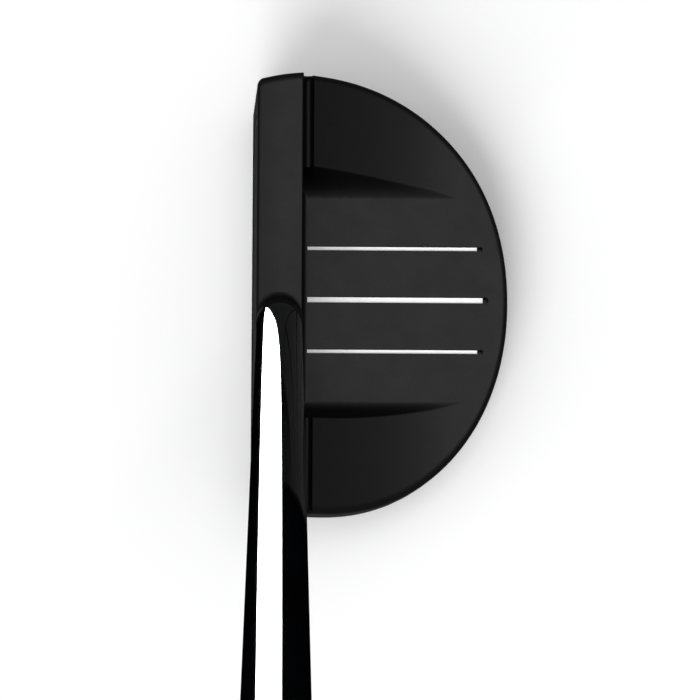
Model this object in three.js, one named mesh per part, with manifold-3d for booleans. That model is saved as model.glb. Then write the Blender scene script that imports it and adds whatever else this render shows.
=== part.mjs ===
// Centre-shafted mallet putter, right-handed, built as separate pieces.
// Millimetres. +X runs from the face to the back, +Y from heel to toe, +Z up.
// The origin is the middle of the flat sole, on the ground, with the club at address.

import * as THREE from 'three';
import { mergeVertices } from 'three/addons/utils/BufferGeometryUtils.js';
import Module from 'manifold-3d';

const wasm = await Module();
wasm.setup();

// ---------------------------------------------------------------- driving dimensions

const LIE_DEG = 70;              // shaft to the ground
const LOFT_DEG = 3;              // face leaning back from vertical
const CLUB_LENGTH = 889;         // 35 in, from the ground to the butt along the shaft

const DRAFT_DEG = 5;             // side walls drawing in towards the sole

// The outline is given where the head is widest, just under the ends of the bar.
const HEAD = {
  length: 95.2,                  // heel to toe
  faceX: -26.1,                  // leading edge on the ground
  centreX: -10.6,                // widest heel-to-toe line
  backX: 29.95,
  widestZ: 22.4,
  frontStretch: 1.2,             // ahead of the widest line the sides curve in more slowly
  roundness: 2.09,               // 2 is an ellipse, more is squarer
  soleRadius: 1.8,
};

const BAR = {
  height: 23.6,                  // top line above the ground
  rearX: -15.1,
  footZ: 15.4,                   // hidden foot, inside the lower body
  endRadius: 2,                  // toe and heel ends of the top line
  edgeRadius: 0.5,               // long edges of the top line
  crown: 0.25,                   // middle of the top line above its long edges
};

const FLOOR_Z = 11.1;            // channel floor above the ground

const WING = {
  rise: 10.2,                    // wing top above the channel floor, at the bar
  endX: 19.8,                    // where the wing has sunk to the floor
  power: 1.7,                    // how the slope eases towards the back
  frontEdgeRadius: 1.8,          // outer edge next to the bar
  backEdgeRadius: 0.9,           // outer edge at the back
};

const CHANNEL = { halfFloor: 21.8, wallWidth: 5.2, wallHeight: 10.8 };
const GROOVE_RADIUS = 1.1;       // relief along the foot of the bar, above the wings
const FOOT_FILLET = 1.0;         // where the bar meets the channel floor

const SHAFT = {
  x: -20,
  groundY: 1.65,                 // where the axis meets the ground
  tipRadius: 4.75,
  buttRadius: 7.35,
  wall: 0.5,
  parallelLength: 320,           // straight tip section
  taperLength: 260,
};

const SHAFT_MOUTH = { gap: 0.1, bevelWidth: 0.15, bevelLength: 0.2 };

// The collar stands on the bar and carries on down inside it, first as a foot, then as the post.
const COLLAR = {
  radius: 4.9,
  footRadius: 5.05,
  topZ: 29,
  flareLength: 1.6,              // foot radius to collar radius, above the bar
  footDepth: 2,
  footBevel: 0.6,
  rimBevel: 0.15,
};
const POST = { radius: 3.95, length: 27, rootDepth: 8, endBevel: 0.8 };
const BOND = { inner: 4.0, outer: 4.2, start: 1, length: 24 };

const INSERT = { length: 78, height: 16, thickness: 2.6, centreZ: 12.2, cornerRadius: 5 };
const TAPE = { thickness: 0.4, inset: 1 };   // behind the face insert
const FIT_GAP = 0.1;             // around a piece let into a pocket
const FACE_RECESS = 0.15;        // insert below the surrounding face

// The sole plate is let into the sole and covers the hollow in the body.
const PLATE = { frontX: -19.5, centreX: -14, backX: 24.4, halfLength: 42.3, thickness: 3 };
const PLATE_SEAT = 3.3;          // depth of the step it sits in
const CAVITY = { inset: 3.4, topZ: 8.9, screwBoss: 3.6, weightBoss: 9.2 };

const SCREW = {
  headRadius: 2.8,
  headHeight: 1.6,
  shankRadius: 1.5,
  length: 7.2,
  recess: 0.25,                  // head below the sole
  point: 0.5,                    // bevel of its end, and room left above it
  socketCorners: 2.3,
  socketDepth: 1.2,
};
const SCREW_PLACES = {
  sole_screw_toe_front: [-14.6, 21],
  sole_screw_heel_front: [-14.6, -21],
  sole_screw_toe_rear: [17, 14],
  sole_screw_heel_rear: [17, -14],
};

const WEIGHT = {
  x: -7,
  y: 32.2,
  radius: 7.4,
  height: 8.4,
  recess: 0.3,
  chamfer: 0.6,
  socketCorners: 5.2,
  socketDepth: 3.6,
};
const WASHER = { outer: 6.9, inner: 2.6, thickness: 0.8 };

// Painted slots in the channel floor: line width, and where the fill and the slot end.
const SLOT_DEPTH = 0.7;
const PAINT_RECESS = 0.12;
const PAINT_GAP = 0.03;
const PLUNGE_RATIO = 1.2;        // round end of a slot, times the line's width
const LINES = {
  sight_line_centre: { y: 0, width: 1.17, paintEnd: 23.5, slotEnd: 24.7 },
  sight_line_toe: { y: 11.2, width: 0.78, paintEnd: 22.3, slotEnd: 23.5 },
  sight_line_heel: { y: -11.2, width: 0.78, paintEnd: 22.3, slotEnd: 23.5 },
};

// Grip sections from its lower mouth to its butt: distance up the grip, width across,
// depth of the flat front and depth of the rounded back, both from the shaft axis.
const GRIP = {
  length: 266,
  skin: 1.4,
  gap: 0.1,
  mouthLength: 2,                // closed end of the skin around the shaft
  mouthBevel: 0.6,
  frontSquareness: 0.45,         // exponents of the section: 1 is round, less is flatter
  backSquareness: 0.9,
  sideSquareness: 0.85,
};
const CAP = {
  thickness: 4.5,
  sideHeight: 2.3,
  edgeDrop: 0.64,                // rounded edge below the flat end
  edgeInset: 1.1,
  rimInset: 3.4,
  ventRadius: 1.2,
  shaftGap: 1,
};
const GRIP_SECTIONS = [
  { at: 0, width: 21.4, front: 10.4, back: 11.0 },
  { at: 0.12, width: 22.4, front: 10.6, back: 12.0 },
  { at: 0.45, width: 24.2, front: 11.0, back: 14.0 },
  { at: 0.72, width: 25.6, front: 11.3, back: 17.2 },
  { at: 0.9, width: 26.6, front: 11.6, back: 20.4 },
  { at: 1, width: 26.4, front: 11.6, back: 20.8 },
];
const GRIP_TAPE = { thickness: 0.35, gap: 0.08, lowerMargin: 8, upperMargin: 2 };

const ROUND_STEPS = 36;          // facets of a round piece
const SMALL_ROUND_STEPS = 20;    // facets of a screw
const OUTLINE_STEPS = 76;        // facets of the head outline
const PLATE_STEPS = 40;          // facets of the sole plate's outline
const GRIP_STEPS = 32;           // facets around the grip
const GRIP_SPANS = 14;           // lengths between the rings of the grip
const TAPER_SPANS = 7;           // lengths between the rings of the shaft's taper
const BAR_STEPS = 8;             // facets across the top line
const EDGE_STEPS = 3;            // facets of a rounded edge
const WALL_STEPS = 12;           // facets of a channel wall
const GROOVE_STEPS = 20;         // facets of the relief groove's full circle
const FILLET_STEPS = 5;          // facets of the fillet at the bar's foot
const CORNER_STEPS = 6;          // facets of a corner of the face insert
const OVERRUN = 1;               // how far a cutter starts outside the surface it cuts
const OVERLAP = 0.2;             // how far joined shapes run into each other
const BEHIND_FACE = 1;           // how far the lower body's top starts behind the face, under the bar
const THROUGH = 60;              // long enough to run out of any piece it cuts

const LIE = THREE.MathUtils.degToRad(LIE_DEG);
const LOFT = THREE.MathUtils.degToRad(LOFT_DEG);
const DRAFT = THREE.MathUtils.degToRad(DRAFT_DEG);

// ---------------------------------------------------------------- solids

function toManifold(geometry) {
  const bare = geometry.clone();
  bare.deleteAttribute('normal');
  bare.deleteAttribute('uv');
  const merged = mergeVertices(bare, 1e-4);
  const mesh = new wasm.Mesh({
    numProp: 3,
    vertProperties: new Float32Array(merged.attributes.position.array),
    triVerts: new Uint32Array(merged.index.array),
  });
  return new wasm.Manifold(mesh);
}

function toGeometry(solid) {
  const mesh = solid.getMesh();
  const geometry = new THREE.BufferGeometry();
  geometry.setAttribute('position', new THREE.BufferAttribute(new Float32Array(mesh.vertProperties), 3));
  geometry.setIndex(new THREE.BufferAttribute(new Uint32Array(mesh.triVerts), 1));
  geometry.computeVertexNormals();
  return geometry;
}

function cut(geometry, ...tools) {
  const solid = tools.reduce((rest, tool) => rest.subtract(toManifold(tool)), toManifold(geometry));
  return toGeometry(solid);
}

function join(geometry, ...others) {
  const solid = others.reduce((sum, other) => sum.add(toManifold(other)), toManifold(geometry));
  return toGeometry(solid);
}

// Rings of equal length, each a mirror image about y = 0, become one closed solid.
// Each end is closed by strips from a point to its mirror point.
function ringSolid(rings) {
  const count = rings[0].length;
  const positions = rings.flat().flatMap((p) => [p.x, p.y, p.z]);
  const index = [];
  for (let k = 0; k + 1 < rings.length; k += 1) {
    for (let i = 0; i < count; i += 1) {
      const a = k * count + i;
      const b = k * count + ((i + 1) % count);
      index.push(a, b, b + count, a, b + count, a + count);
    }
  }
  const top = (rings.length - 1) * count;
  for (let i = 0; i + 1 < count / 2; i += 1) {
    const j = count - 1 - i;
    index.push(i, j, j - 1, i, j - 1, i + 1);
    index.push(top + i, top + j - 1, top + j, top + i, top + i + 1, top + j - 1);
  }
  const geometry = new THREE.BufferGeometry();
  geometry.setAttribute('position', new THREE.Float32BufferAttribute(positions, 3));
  geometry.setIndex(index);
  return geometry;
}

// A round solid or tube about +Z from (radius, z) pairs; a tube's profile closes on itself.
function turned(profile, steps = ROUND_STEPS) {
  const points = profile.map(([radius, z]) => new THREE.Vector2(radius, z));
  return new THREE.LatheGeometry(points, steps).rotateX(Math.PI / 2);
}

function rod(radius, fromZ, toZ, steps = ROUND_STEPS) {
  return turned([[0, fromZ], [radius, fromZ], [radius, toZ], [0, toZ]], steps);
}

function tube(inner, outer, fromZ, toZ) {
  return turned([[inner, fromZ], [outer, fromZ], [outer, toZ], [inner, toZ], [inner, fromZ]]);
}

function hexSocket(acrossCorners, fromZ, toZ) {
  const depth = toZ - fromZ;
  const socket = new THREE.CylinderGeometry(acrossCorners / 2, acrossCorners / 2, depth, 6);
  return socket.rotateX(Math.PI / 2).translate(0, 0, fromZ + depth / 2);
}

function box(fromX, toX, fromY, toY, fromZ, toZ) {
  const shape = new THREE.BoxGeometry(toX - fromX, toY - fromY, toZ - fromZ);
  return shape.translate((fromX + toX) / 2, (fromY + toY) / 2, (fromZ + toZ) / 2);
}

// ---------------------------------------------------------------- head outline

function faceX(z) {
  return HEAD.faceX + z * Math.tan(LOFT);
}

// Half the heel-to-toe length of the head at x.
function halfLengthAt(x) {
  const depth = HEAD.backX - HEAD.centreX;
  const reach = x < HEAD.centreX ? depth * HEAD.frontStretch : depth;
  const along = Math.min(1, Math.abs(x - HEAD.centreX) / reach);
  return (HEAD.length / 2) * (1 - along ** HEAD.roundness) ** (1 / HEAD.roundness);
}

// How far the drafted side wall at height z has drawn in from the widest outline.
function drawnIn(z) {
  return (HEAD.widestZ - z) * Math.tan(DRAFT);
}

// A D with its straight side at frontX: from the heel's front corner round the back to the toe's.
function dOutline(frontX, centreX, backX, halfLength, steps = OUTLINE_STEPS) {
  const depth = backX - centreX;
  const frontDepth = depth * HEAD.frontStretch;
  const frontTurn = Math.acos(-(((centreX - frontX) / frontDepth) ** (HEAD.roundness / 2)));
  const heel = [];
  for (let i = 0; i < steps / 2; i += 1) {
    const turn = frontTurn * (1 - i / (steps / 2 - 0.5));
    const cos = Math.cos(turn);
    const reach = cos < 0 ? -frontDepth : depth;
    const x = centreX + reach * Math.abs(cos) ** (2 / HEAD.roundness);
    const y = halfLength * Math.sin(turn) ** (2 / HEAD.roundness);
    heel.push(new THREE.Vector2(x, -y));
  }
  const toe = heel.toReversed().map((p) => new THREE.Vector2(p.x, -p.y));
  return [...heel, ...toe];
}

function headOutline(inset, frontX) {
  return dOutline(frontX, HEAD.centreX, HEAD.backX - inset, HEAD.length / 2 - inset);
}

function wingTop(x) {
  const start = BAR.rearX + GROOVE_RADIUS;
  const left = THREE.MathUtils.clamp((WING.endX - x) / (WING.endX - start), 0, 1);
  return FLOOR_Z + WING.rise * left ** WING.power;
}

function wingEdgeRadius(x) {
  const back = THREE.MathUtils.clamp((x - BAR.rearX) / (HEAD.backX - BAR.rearX), 0, 1);
  return THREE.MathUtils.lerp(WING.frontEdgeRadius, WING.backEdgeRadius, back);
}

// An outline point drawn in towards the middle of the head.
function shrunk(point, inset) {
  const scale = 1 - inset / (HEAD.length / 2);
  return new THREE.Vector2(HEAD.centreX + (point.x - HEAD.centreX) * scale, point.y * scale);
}

// ---------------------------------------------------------------- head body

// Everything below the top of the wings, as if there were no channel.
function lowerBody() {
  const rings = [];
  for (let k = 0; k <= EDGE_STEPS; k += 1) {
    const turn = (Math.PI / 2) * (k / EDGE_STEPS);
    const inset = HEAD.soleRadius * (1 - Math.sin(turn));
    const z = HEAD.soleRadius * (1 - Math.cos(turn));
    const outline = headOutline(inset + drawnIn(z), faceX(z) + inset);
    rings.push(outline.map((p) => new THREE.Vector3(p.x, p.y, z)));
  }
  const shoulderZ = BAR.footZ + OVERLAP;
  rings.push(headOutline(0, faceX(shoulderZ)).map((p) => {
    const z = Math.min(shoulderZ, wingTop(p.x) - wingEdgeRadius(p.x) - OVERLAP / 2);
    const place = shrunk(p, drawnIn(z));
    return new THREE.Vector3(Math.max(place.x, faceX(z)), place.y, z);
  }));
  const insideFace = headOutline(0, faceX(shoulderZ) + BEHIND_FACE);
  for (let k = 0; k <= EDGE_STEPS; k += 1) {
    const turn = (Math.PI / 2) * (k / EDGE_STEPS);
    rings.push(insideFace.map((p) => {
      const radius = wingEdgeRadius(p.x);
      const edge = radius * (1 - Math.cos(turn)) + drawnIn(wingTop(p.x) - radius);
      const place = shrunk(p, edge);
      return new THREE.Vector3(place.x, place.y, wingTop(place.x) - radius * (1 - Math.sin(turn)));
    }));
  }
  return ringSolid(rings);
}

// The tall bar behind the face, with its rounded ends and slightly crowned top line.
function topBar() {
  const ring = (z, endInset, edgeInset, crown) => {
    const front = faceX(z) + edgeInset;
    const rear = BAR.rearX - edgeInset;
    const heel = [];
    for (let i = 0; i <= BAR_STEPS; i += 1) {
      const across = i / BAR_STEPS;
      const x = THREE.MathUtils.lerp(front, rear, across);
      const y = halfLengthAt(x) - drawnIn(Math.min(z, HEAD.widestZ)) - endInset;
      const lift = crown * (1 - (2 * across - 1) ** 2);
      heel.push(new THREE.Vector3(x, -y, z + lift));
    }
    return [...heel, ...heel.toReversed().map((p) => new THREE.Vector3(p.x, -p.y, p.z))];
  };
  const rings = [ring(BAR.footZ, 0, 0, 0)];
  const top = BAR.height - BAR.crown;
  for (let k = 0; k <= EDGE_STEPS; k += 1) {
    const turn = (Math.PI / 2) * (k / EDGE_STEPS);
    const z = top - BAR.endRadius * (1 - Math.sin(turn));
    const endInset = BAR.endRadius * (1 - Math.cos(turn));
    const below = Math.max(0, BAR.edgeRadius - (top - z));
    const edgeInset = BAR.edgeRadius - Math.sqrt(BAR.edgeRadius ** 2 - below ** 2);
    rings.push(ring(z, endInset, edgeInset, k === EDGE_STEPS ? BAR.crown : 0));
  }
  return ringSolid(rings);
}

// The alignment channel: a flat floor with a quarter-ellipse wall on each side.
function channelCutter() {
  const { halfFloor, wallWidth, wallHeight } = CHANNEL;
  const wallZ = FLOOR_Z + wallHeight;
  const section = new THREE.Shape();
  section.moveTo(-halfFloor, FLOOR_Z);
  section.lineTo(halfFloor, FLOOR_Z);
  section.absellipse(halfFloor, wallZ, wallWidth, wallHeight, -Math.PI / 2, 0, false);
  section.lineTo(halfFloor + wallWidth, THROUGH);
  section.lineTo(-halfFloor - wallWidth, THROUGH);
  section.absellipse(-halfFloor, wallZ, wallWidth, wallHeight, Math.PI, 1.5 * Math.PI, false);
  const sweep = { depth: THROUGH, bevelEnabled: false, curveSegments: WALL_STEPS };
  const prism = new THREE.ExtrudeGeometry(section, sweep);
  return prism.applyMatrix4(new THREE.Matrix4().makeBasis(
    new THREE.Vector3(0, 1, 0),
    new THREE.Vector3(0, 0, 1),
    new THREE.Vector3(1, 0, 0),
  )).translate(BAR.rearX - OVERRUN, 0, 0);
}

function grooveCutter() {
  const length = HEAD.length + THROUGH;
  const cutter = new THREE.CylinderGeometry(GROOVE_RADIUS, GROOVE_RADIUS, length, GROOVE_STEPS);
  return cutter.translate(BAR.rearX + GROOVE_RADIUS, 0, wingTop(BAR.rearX));
}

// A slot ends in the round plunge mark of its cutter, a little wider than the line.
function slotCutter(line) {
  const half = line.width / 2;
  const plunge = half * PLUNGE_RATIO;
  const bottom = FLOOR_Z - SLOT_DEPTH;
  const top = FLOOR_Z + OVERRUN;
  const slot = box(BAR.rearX + FOOT_FILLET, line.slotEnd - plunge, line.y - half, line.y + half, bottom, top);
  const end = rod(plunge, bottom, top).translate(line.slotEnd - plunge, line.y, 0);
  return join(slot, end);
}

// A fillet runs along the foot of the bar between the channel walls.
function footFillet() {
  const section = new THREE.Shape();
  section.moveTo(-OVERLAP, -OVERLAP);
  section.lineTo(FOOT_FILLET, -OVERLAP);
  section.lineTo(FOOT_FILLET, 0);
  section.absarc(FOOT_FILLET, FOOT_FILLET, FOOT_FILLET, 1.5 * Math.PI, Math.PI, true);
  section.lineTo(-OVERLAP, FOOT_FILLET);
  const length = 2 * (CHANNEL.halfFloor + FOOT_FILLET);
  const sweep = { depth: length, bevelEnabled: false, curveSegments: FILLET_STEPS };
  const strip = new THREE.ExtrudeGeometry(section, sweep);
  return strip.rotateX(Math.PI / 2).translate(BAR.rearX, length / 2, FLOOR_Z);
}

function platePocket() {
  return plateBlock(-FIT_GAP, -OVERRUN, PLATE_SEAT);
}

// A hollow above the sole plate lightens the head, round bosses for the screws and weights.
function cavityCutter() {
  const boss = (radius, x, y) => rod(radius, 0, THROUGH).translate(x, y, 0);
  const bosses = Object.values(SCREW_PLACES).map(([x, y]) => boss(CAVITY.screwBoss, x, y));
  bosses.push(boss(CAVITY.weightBoss, WEIGHT.x, WEIGHT.y), boss(CAVITY.weightBoss, WEIGHT.x, -WEIGHT.y));
  return cut(plateBlock(CAVITY.inset, OVERRUN, CAVITY.topZ), ...bosses);
}

function plateBlock(inset, fromZ, toZ) {
  const outline = dOutline(PLATE.frontX + inset, PLATE.centreX, PLATE.backX - inset,
    PLATE.halfLength - inset, PLATE_STEPS);
  return ringSolid([fromZ, toZ].map((z) => outline.map((p) => new THREE.Vector3(p.x, p.y, z))));
}

// A rounded slab standing in the face plane, from behind the face to its surface.
function faceSlab(grow, backDepth, frontDepth) {
  const length = INSERT.length + 2 * grow;
  const height = INSERT.height + 2 * grow;
  const r = INSERT.cornerRadius + grow;
  const shape = new THREE.Shape();
  shape.moveTo(-length / 2 + r, -height / 2);
  shape.absarc(length / 2 - r, -height / 2 + r, r, -Math.PI / 2, 0, false);
  shape.absarc(length / 2 - r, height / 2 - r, r, 0, Math.PI / 2, false);
  shape.absarc(-length / 2 + r, height / 2 - r, r, Math.PI / 2, Math.PI, false);
  shape.absarc(-length / 2 + r, -height / 2 + r, r, Math.PI, 1.5 * Math.PI, false);
  const slab = new THREE.ExtrudeGeometry(shape, {
    depth: backDepth - frontDepth, bevelEnabled: false, curveSegments: CORNER_STEPS,
  });
  const upright = new THREE.Matrix4().makeBasis(
    new THREE.Vector3(0, 1, 0),
    new THREE.Vector3(0, 0, 1),
    new THREE.Vector3(1, 0, 0),
  );
  slab.translate(0, 0, frontDepth).applyMatrix4(upright).rotateY(LOFT);
  return slab.translate(faceX(INSERT.centreZ), 0, INSERT.centreZ);
}

// Distances up the shaft are measured from where its axis meets the ground.
function alongShaft(z) {
  return z / Math.sin(LIE);
}

function leanWithShaft(geometry) {
  return geometry.rotateX(Math.PI / 2 - LIE).translate(SHAFT.x, SHAFT.groundY, 0);
}

// The collar that the shaft rests on, and the post inside the shaft.
function collarAndPost() {
  const top = alongShaft(COLLAR.topZ);
  const foot = alongShaft(BAR.height);
  const end = top + POST.length;
  return leanWithShaft(turned([
    [0, foot - POST.rootDepth],
    [POST.radius, foot - POST.rootDepth],
    [POST.radius, foot - COLLAR.footDepth],
    [COLLAR.footRadius - COLLAR.footBevel, foot - COLLAR.footDepth],
    [COLLAR.footRadius, foot - COLLAR.footBevel],
    [COLLAR.radius, foot + COLLAR.flareLength],
    [COLLAR.radius, top - COLLAR.rimBevel],
    [COLLAR.radius - COLLAR.rimBevel, top],
    [POST.radius, top],
    [POST.radius, end - POST.endBevel],
    [POST.radius - POST.endBevel, end],
    [0, end],
  ]));
}

function screwHole([x, y]) {
  const top = SCREW.recess + SCREW.length + SCREW.point;
  return rod(SCREW.shankRadius + FIT_GAP, OVERRUN, top, SMALL_ROUND_STEPS).translate(x, y, 0);
}

function weightPort(side) {
  const top = WEIGHT.recess + WEIGHT.height + WASHER.thickness + 2 * FIT_GAP;
  return rod(WEIGHT.radius + FIT_GAP, -OVERRUN, top).translate(WEIGHT.x, side * WEIGHT.y, 0);
}

function headBody() {
  const carved = cut(lowerBody(), channelCutter(), grooveCutter());
  const whole = join(carved, topBar(), footFillet(), collarAndPost());
  return cut(
    whole,
    ...Object.values(LINES).map(slotCutter),
    faceSlab(FIT_GAP, FACE_RECESS + INSERT.thickness + TAPE.thickness + 2 * FIT_GAP, -OVERRUN),
    platePocket(),
    cavityCutter(),
    ...Object.values(SCREW_PLACES).map(screwHole),
    weightPort(1),
    weightPort(-1),
  );
}

// ---------------------------------------------------------------- pieces let into the head

function faceInsert() {
  return faceSlab(0, FACE_RECESS + INSERT.thickness, FACE_RECESS);
}

function faceInsertTape() {
  const front = FACE_RECESS + INSERT.thickness + FIT_GAP;
  return faceSlab(-TAPE.inset, front + TAPE.thickness, front);
}

function solePlate() {
  const sink = turned([
    [0, -OVERRUN],
    [SCREW.headRadius + FIT_GAP, -OVERRUN],
    [SCREW.headRadius + FIT_GAP, SCREW.recess],
    [SCREW.shankRadius + FIT_GAP, SCREW.recess + SCREW.headHeight],
    [SCREW.shankRadius + FIT_GAP, PLATE.thickness + OVERRUN],
    [0, PLATE.thickness + OVERRUN],
  ], SMALL_ROUND_STEPS);
  const sinks = Object.values(SCREW_PLACES).map(([x, y]) => sink.clone().translate(x, y, 0));
  return cut(plateBlock(0, 0, PLATE.thickness), ...sinks, weightPort(1), weightPort(-1));
}

function soleScrew([x, y]) {
  const { headRadius, headHeight, shankRadius, length, recess, point } = SCREW;
  const body = turned([
    [0, recess],
    [headRadius, recess],
    [shankRadius, recess + headHeight],
    [shankRadius, recess + length - point],
    [shankRadius - point, recess + length],
    [0, recess + length],
  ], SMALL_ROUND_STEPS);
  const socket = hexSocket(SCREW.socketCorners, recess - OVERRUN, recess + SCREW.socketDepth);
  return cut(body, socket).translate(x, y, 0);
}

function soleWeight(side) {
  const { radius, height, recess, chamfer } = WEIGHT;
  const body = turned([
    [0, recess],
    [radius - chamfer, recess],
    [radius, recess + chamfer],
    [radius, recess + height],
    [0, recess + height],
  ]);
  const socket = hexSocket(WEIGHT.socketCorners, recess - OVERRUN, recess + WEIGHT.socketDepth);
  return cut(body, socket).translate(WEIGHT.x, side * WEIGHT.y, 0);
}

function weightWasher(side) {
  const bottom = WEIGHT.recess + WEIGHT.height + FIT_GAP;
  const ring = tube(WASHER.inner, WASHER.outer, bottom, bottom + WASHER.thickness);
  return ring.translate(WEIGHT.x, side * WEIGHT.y, 0);
}

function paintLine(line) {
  const half = line.width / 2 - PAINT_GAP;
  return box(BAR.rearX + FOOT_FILLET + PAINT_GAP, line.paintEnd, line.y - half, line.y + half,
    FLOOR_Z - SLOT_DEPTH + PAINT_GAP, FLOOR_Z - PAINT_RECESS);
}

// ---------------------------------------------------------------- shaft and grip

function shaftRadius(distance) {
  const { parallelLength, taperLength, tipRadius, buttRadius } = SHAFT;
  const t = THREE.MathUtils.smoothstep(distance, parallelLength, parallelLength + taperLength);
  return THREE.MathUtils.lerp(tipRadius, buttRadius, t);
}

const SHAFT_START = alongShaft(COLLAR.topZ) + SHAFT_MOUTH.gap;
const GRIP_START = CLUB_LENGTH - GRIP.length;
const GRIP_END = CLUB_LENGTH - CAP.thickness;
const SHAFT_END = GRIP_END - CAP.shaftGap;

function shaft() {
  const outer = [
    [SHAFT.tipRadius - SHAFT_MOUTH.bevelWidth, SHAFT_START],
    [SHAFT.tipRadius, SHAFT_START + SHAFT_MOUTH.bevelLength],
  ];
  const inner = [[SHAFT.tipRadius - SHAFT.wall, SHAFT_START]];
  for (let k = 0; k <= TAPER_SPANS; k += 1) {
    const distance = SHAFT.parallelLength + (SHAFT.taperLength * k) / TAPER_SPANS;
    outer.push([shaftRadius(distance), distance]);
    inner.push([shaftRadius(distance) - SHAFT.wall, distance]);
  }
  outer.push([SHAFT.buttRadius, SHAFT_END]);
  inner.push([SHAFT.buttRadius - SHAFT.wall, SHAFT_END]);
  return leanWithShaft(turned([...outer, ...inner.toReversed(), outer[0]]));
}

function shaftBond() {
  const from = SHAFT_START + BOND.start;
  return leanWithShaft(tube(BOND.inner, BOND.outer, from, from + BOND.length));
}

function gripTape() {
  const inner = SHAFT.buttRadius + GRIP_TAPE.gap;
  const from = GRIP_START + GRIP_TAPE.lowerMargin;
  return leanWithShaft(tube(inner, inner + GRIP_TAPE.thickness, from, SHAFT_END - GRIP_TAPE.upperMargin));
}

function gripSectionAt(fraction) {
  const upper = Math.max(1, GRIP_SECTIONS.findIndex((section) => section.at >= fraction));
  const from = GRIP_SECTIONS[upper - 1];
  const to = GRIP_SECTIONS[upper];
  const t = THREE.MathUtils.smoothstep(fraction, from.at, to.at);
  const mix = (key) => THREE.MathUtils.lerp(from[key], to[key], t);
  return { width: mix('width'), front: mix('front'), back: mix('back') };
}

// One closed ring of the grip: flat across the front (+y), round at the back.
function gripRing(distance, inset) {
  const section = gripSectionAt((distance - GRIP_START) / GRIP.length);
  const ring = [];
  for (let i = 0; i < GRIP_STEPS; i += 1) {
    const turn = (2 * Math.PI * (i + 0.5)) / GRIP_STEPS;
    const across = Math.sin(turn);
    const ahead = Math.cos(turn);
    const squareness = ahead > 0 ? GRIP.frontSquareness : GRIP.backSquareness;
    const reach = (ahead > 0 ? section.front : section.back) - inset;
    const halfWidth = section.width / 2 - inset;
    const x = Math.sign(across) * halfWidth * Math.abs(across) ** GRIP.sideSquareness;
    const y = Math.sign(ahead) * reach * Math.abs(ahead) ** squareness;
    ring.push(new THREE.Vector3(x, y, distance));
  }
  return ring;
}

function roundRing(distance, radius) {
  return Array.from({ length: GRIP_STEPS }, (unused, i) => {
    const turn = (2 * Math.PI * (i + 0.5)) / GRIP_STEPS;
    return new THREE.Vector3(radius * Math.sin(turn), radius * Math.cos(turn), distance);
  });
}

// Rings joined end to end, the last back to the first: a sleeve with a hole through it.
function sleeveSolid(rings) {
  const count = rings[0].length;
  const positions = rings.flat().flatMap((p) => [p.x, p.y, p.z]);
  const index = [];
  for (let k = 0; k < rings.length; k += 1) {
    const next = ((k + 1) % rings.length) * count;
    for (let i = 0; i < count; i += 1) {
      const j = (i + 1) % count;
      index.push(k * count + i, next + j, k * count + j, k * count + i, next + i, next + j);
    }
  }
  const geometry = new THREE.BufferGeometry();
  geometry.setAttribute('position', new THREE.Float32BufferAttribute(positions, 3));
  geometry.setIndex(index);
  return geometry;
}

function gripDistances(from, to) {
  return Array.from({ length: GRIP_SPANS + 1 }, (unused, k) => from + ((to - from) * k) / GRIP_SPANS);
}

function gripSkin() {
  const distances = gripDistances(GRIP_START, GRIP_END);
  const outer = distances.map((distance) => gripRing(distance, 0));
  outer[0] = gripRing(GRIP_START, GRIP.mouthBevel);
  const mouthEnd = GRIP_START + GRIP.mouthLength;
  const bore = SHAFT.buttRadius + GRIP.gap;
  const inner = distances.slice(1).toReversed().map((distance) => gripRing(distance, GRIP.skin));
  inner.push(gripRing(mouthEnd, GRIP.skin), roundRing(mouthEnd, bore), roundRing(GRIP_START, bore));
  return leanWithShaft(sleeveSolid([...outer, ...inner]));
}

function gripCore() {
  const from = GRIP_START + GRIP.mouthLength + GRIP.gap;
  const to = GRIP_END - GRIP.gap;
  const distances = gripDistances(from, to);
  const bore = SHAFT.buttRadius + GRIP_TAPE.gap + GRIP_TAPE.thickness + GRIP.gap;
  const outer = distances.map((distance) => gripRing(distance, GRIP.skin + GRIP.gap));
  const inner = [roundRing(to, bore), roundRing(from, bore)];
  return leanWithShaft(sleeveSolid([...outer, ...inner]));
}

function gripCap() {
  const bottom = GRIP_END + GRIP.gap;
  const rings = [
    gripRing(bottom, GRIP.gap),
    gripRing(bottom + CAP.sideHeight, 0),
    gripRing(CLUB_LENGTH - CAP.edgeDrop, CAP.edgeInset),
    gripRing(CLUB_LENGTH, CAP.rimInset),
    roundRing(CLUB_LENGTH, CAP.ventRadius),
    roundRing(bottom, CAP.ventRadius),
  ];
  return leanWithShaft(sleeveSolid(rings));
}

// ---------------------------------------------------------------- materials

const finish = (color, roughness, metalness) => ({ color, roughness, metalness });

const FINISHES = {
  blackAnodised: finish(0x1d1d1e, 0.5, 0.6),
  darkInsert: finish(0x29292b, 0.6, 0.3),
  tape: finish(0x8a8a86, 0.9, 0),
  darkSteel: finish(0x2c2c2e, 0.35, 0.9),
  steel: finish(0x9a9a9c, 0.3, 1),
  nylon: finish(0xd8d4c8, 0.6, 0),
  whitePaint: finish(0xf2f2f2, 0.5, 0),
  epoxy: finish(0xb9a874, 0.3, 0),
  glossBlackShaft: finish(0x0b0c0e, 0.08, 0.8),
  paper: finish(0xcfc9b8, 0.9, 0),
  foam: finish(0x3a3a3a, 0.95, 0),
  gripBlack: finish(0x19191a, 0.8, 0),
  capBlack: finish(0x101011, 0.6, 0),
};

// ---------------------------------------------------------------- assembly

const putter = new THREE.Group();

function addPiece(name, geometry, look) {
  const piece = new THREE.Mesh(geometry, new THREE.MeshStandardMaterial(look));
  piece.name = name;
  putter.add(piece);
}

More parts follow.
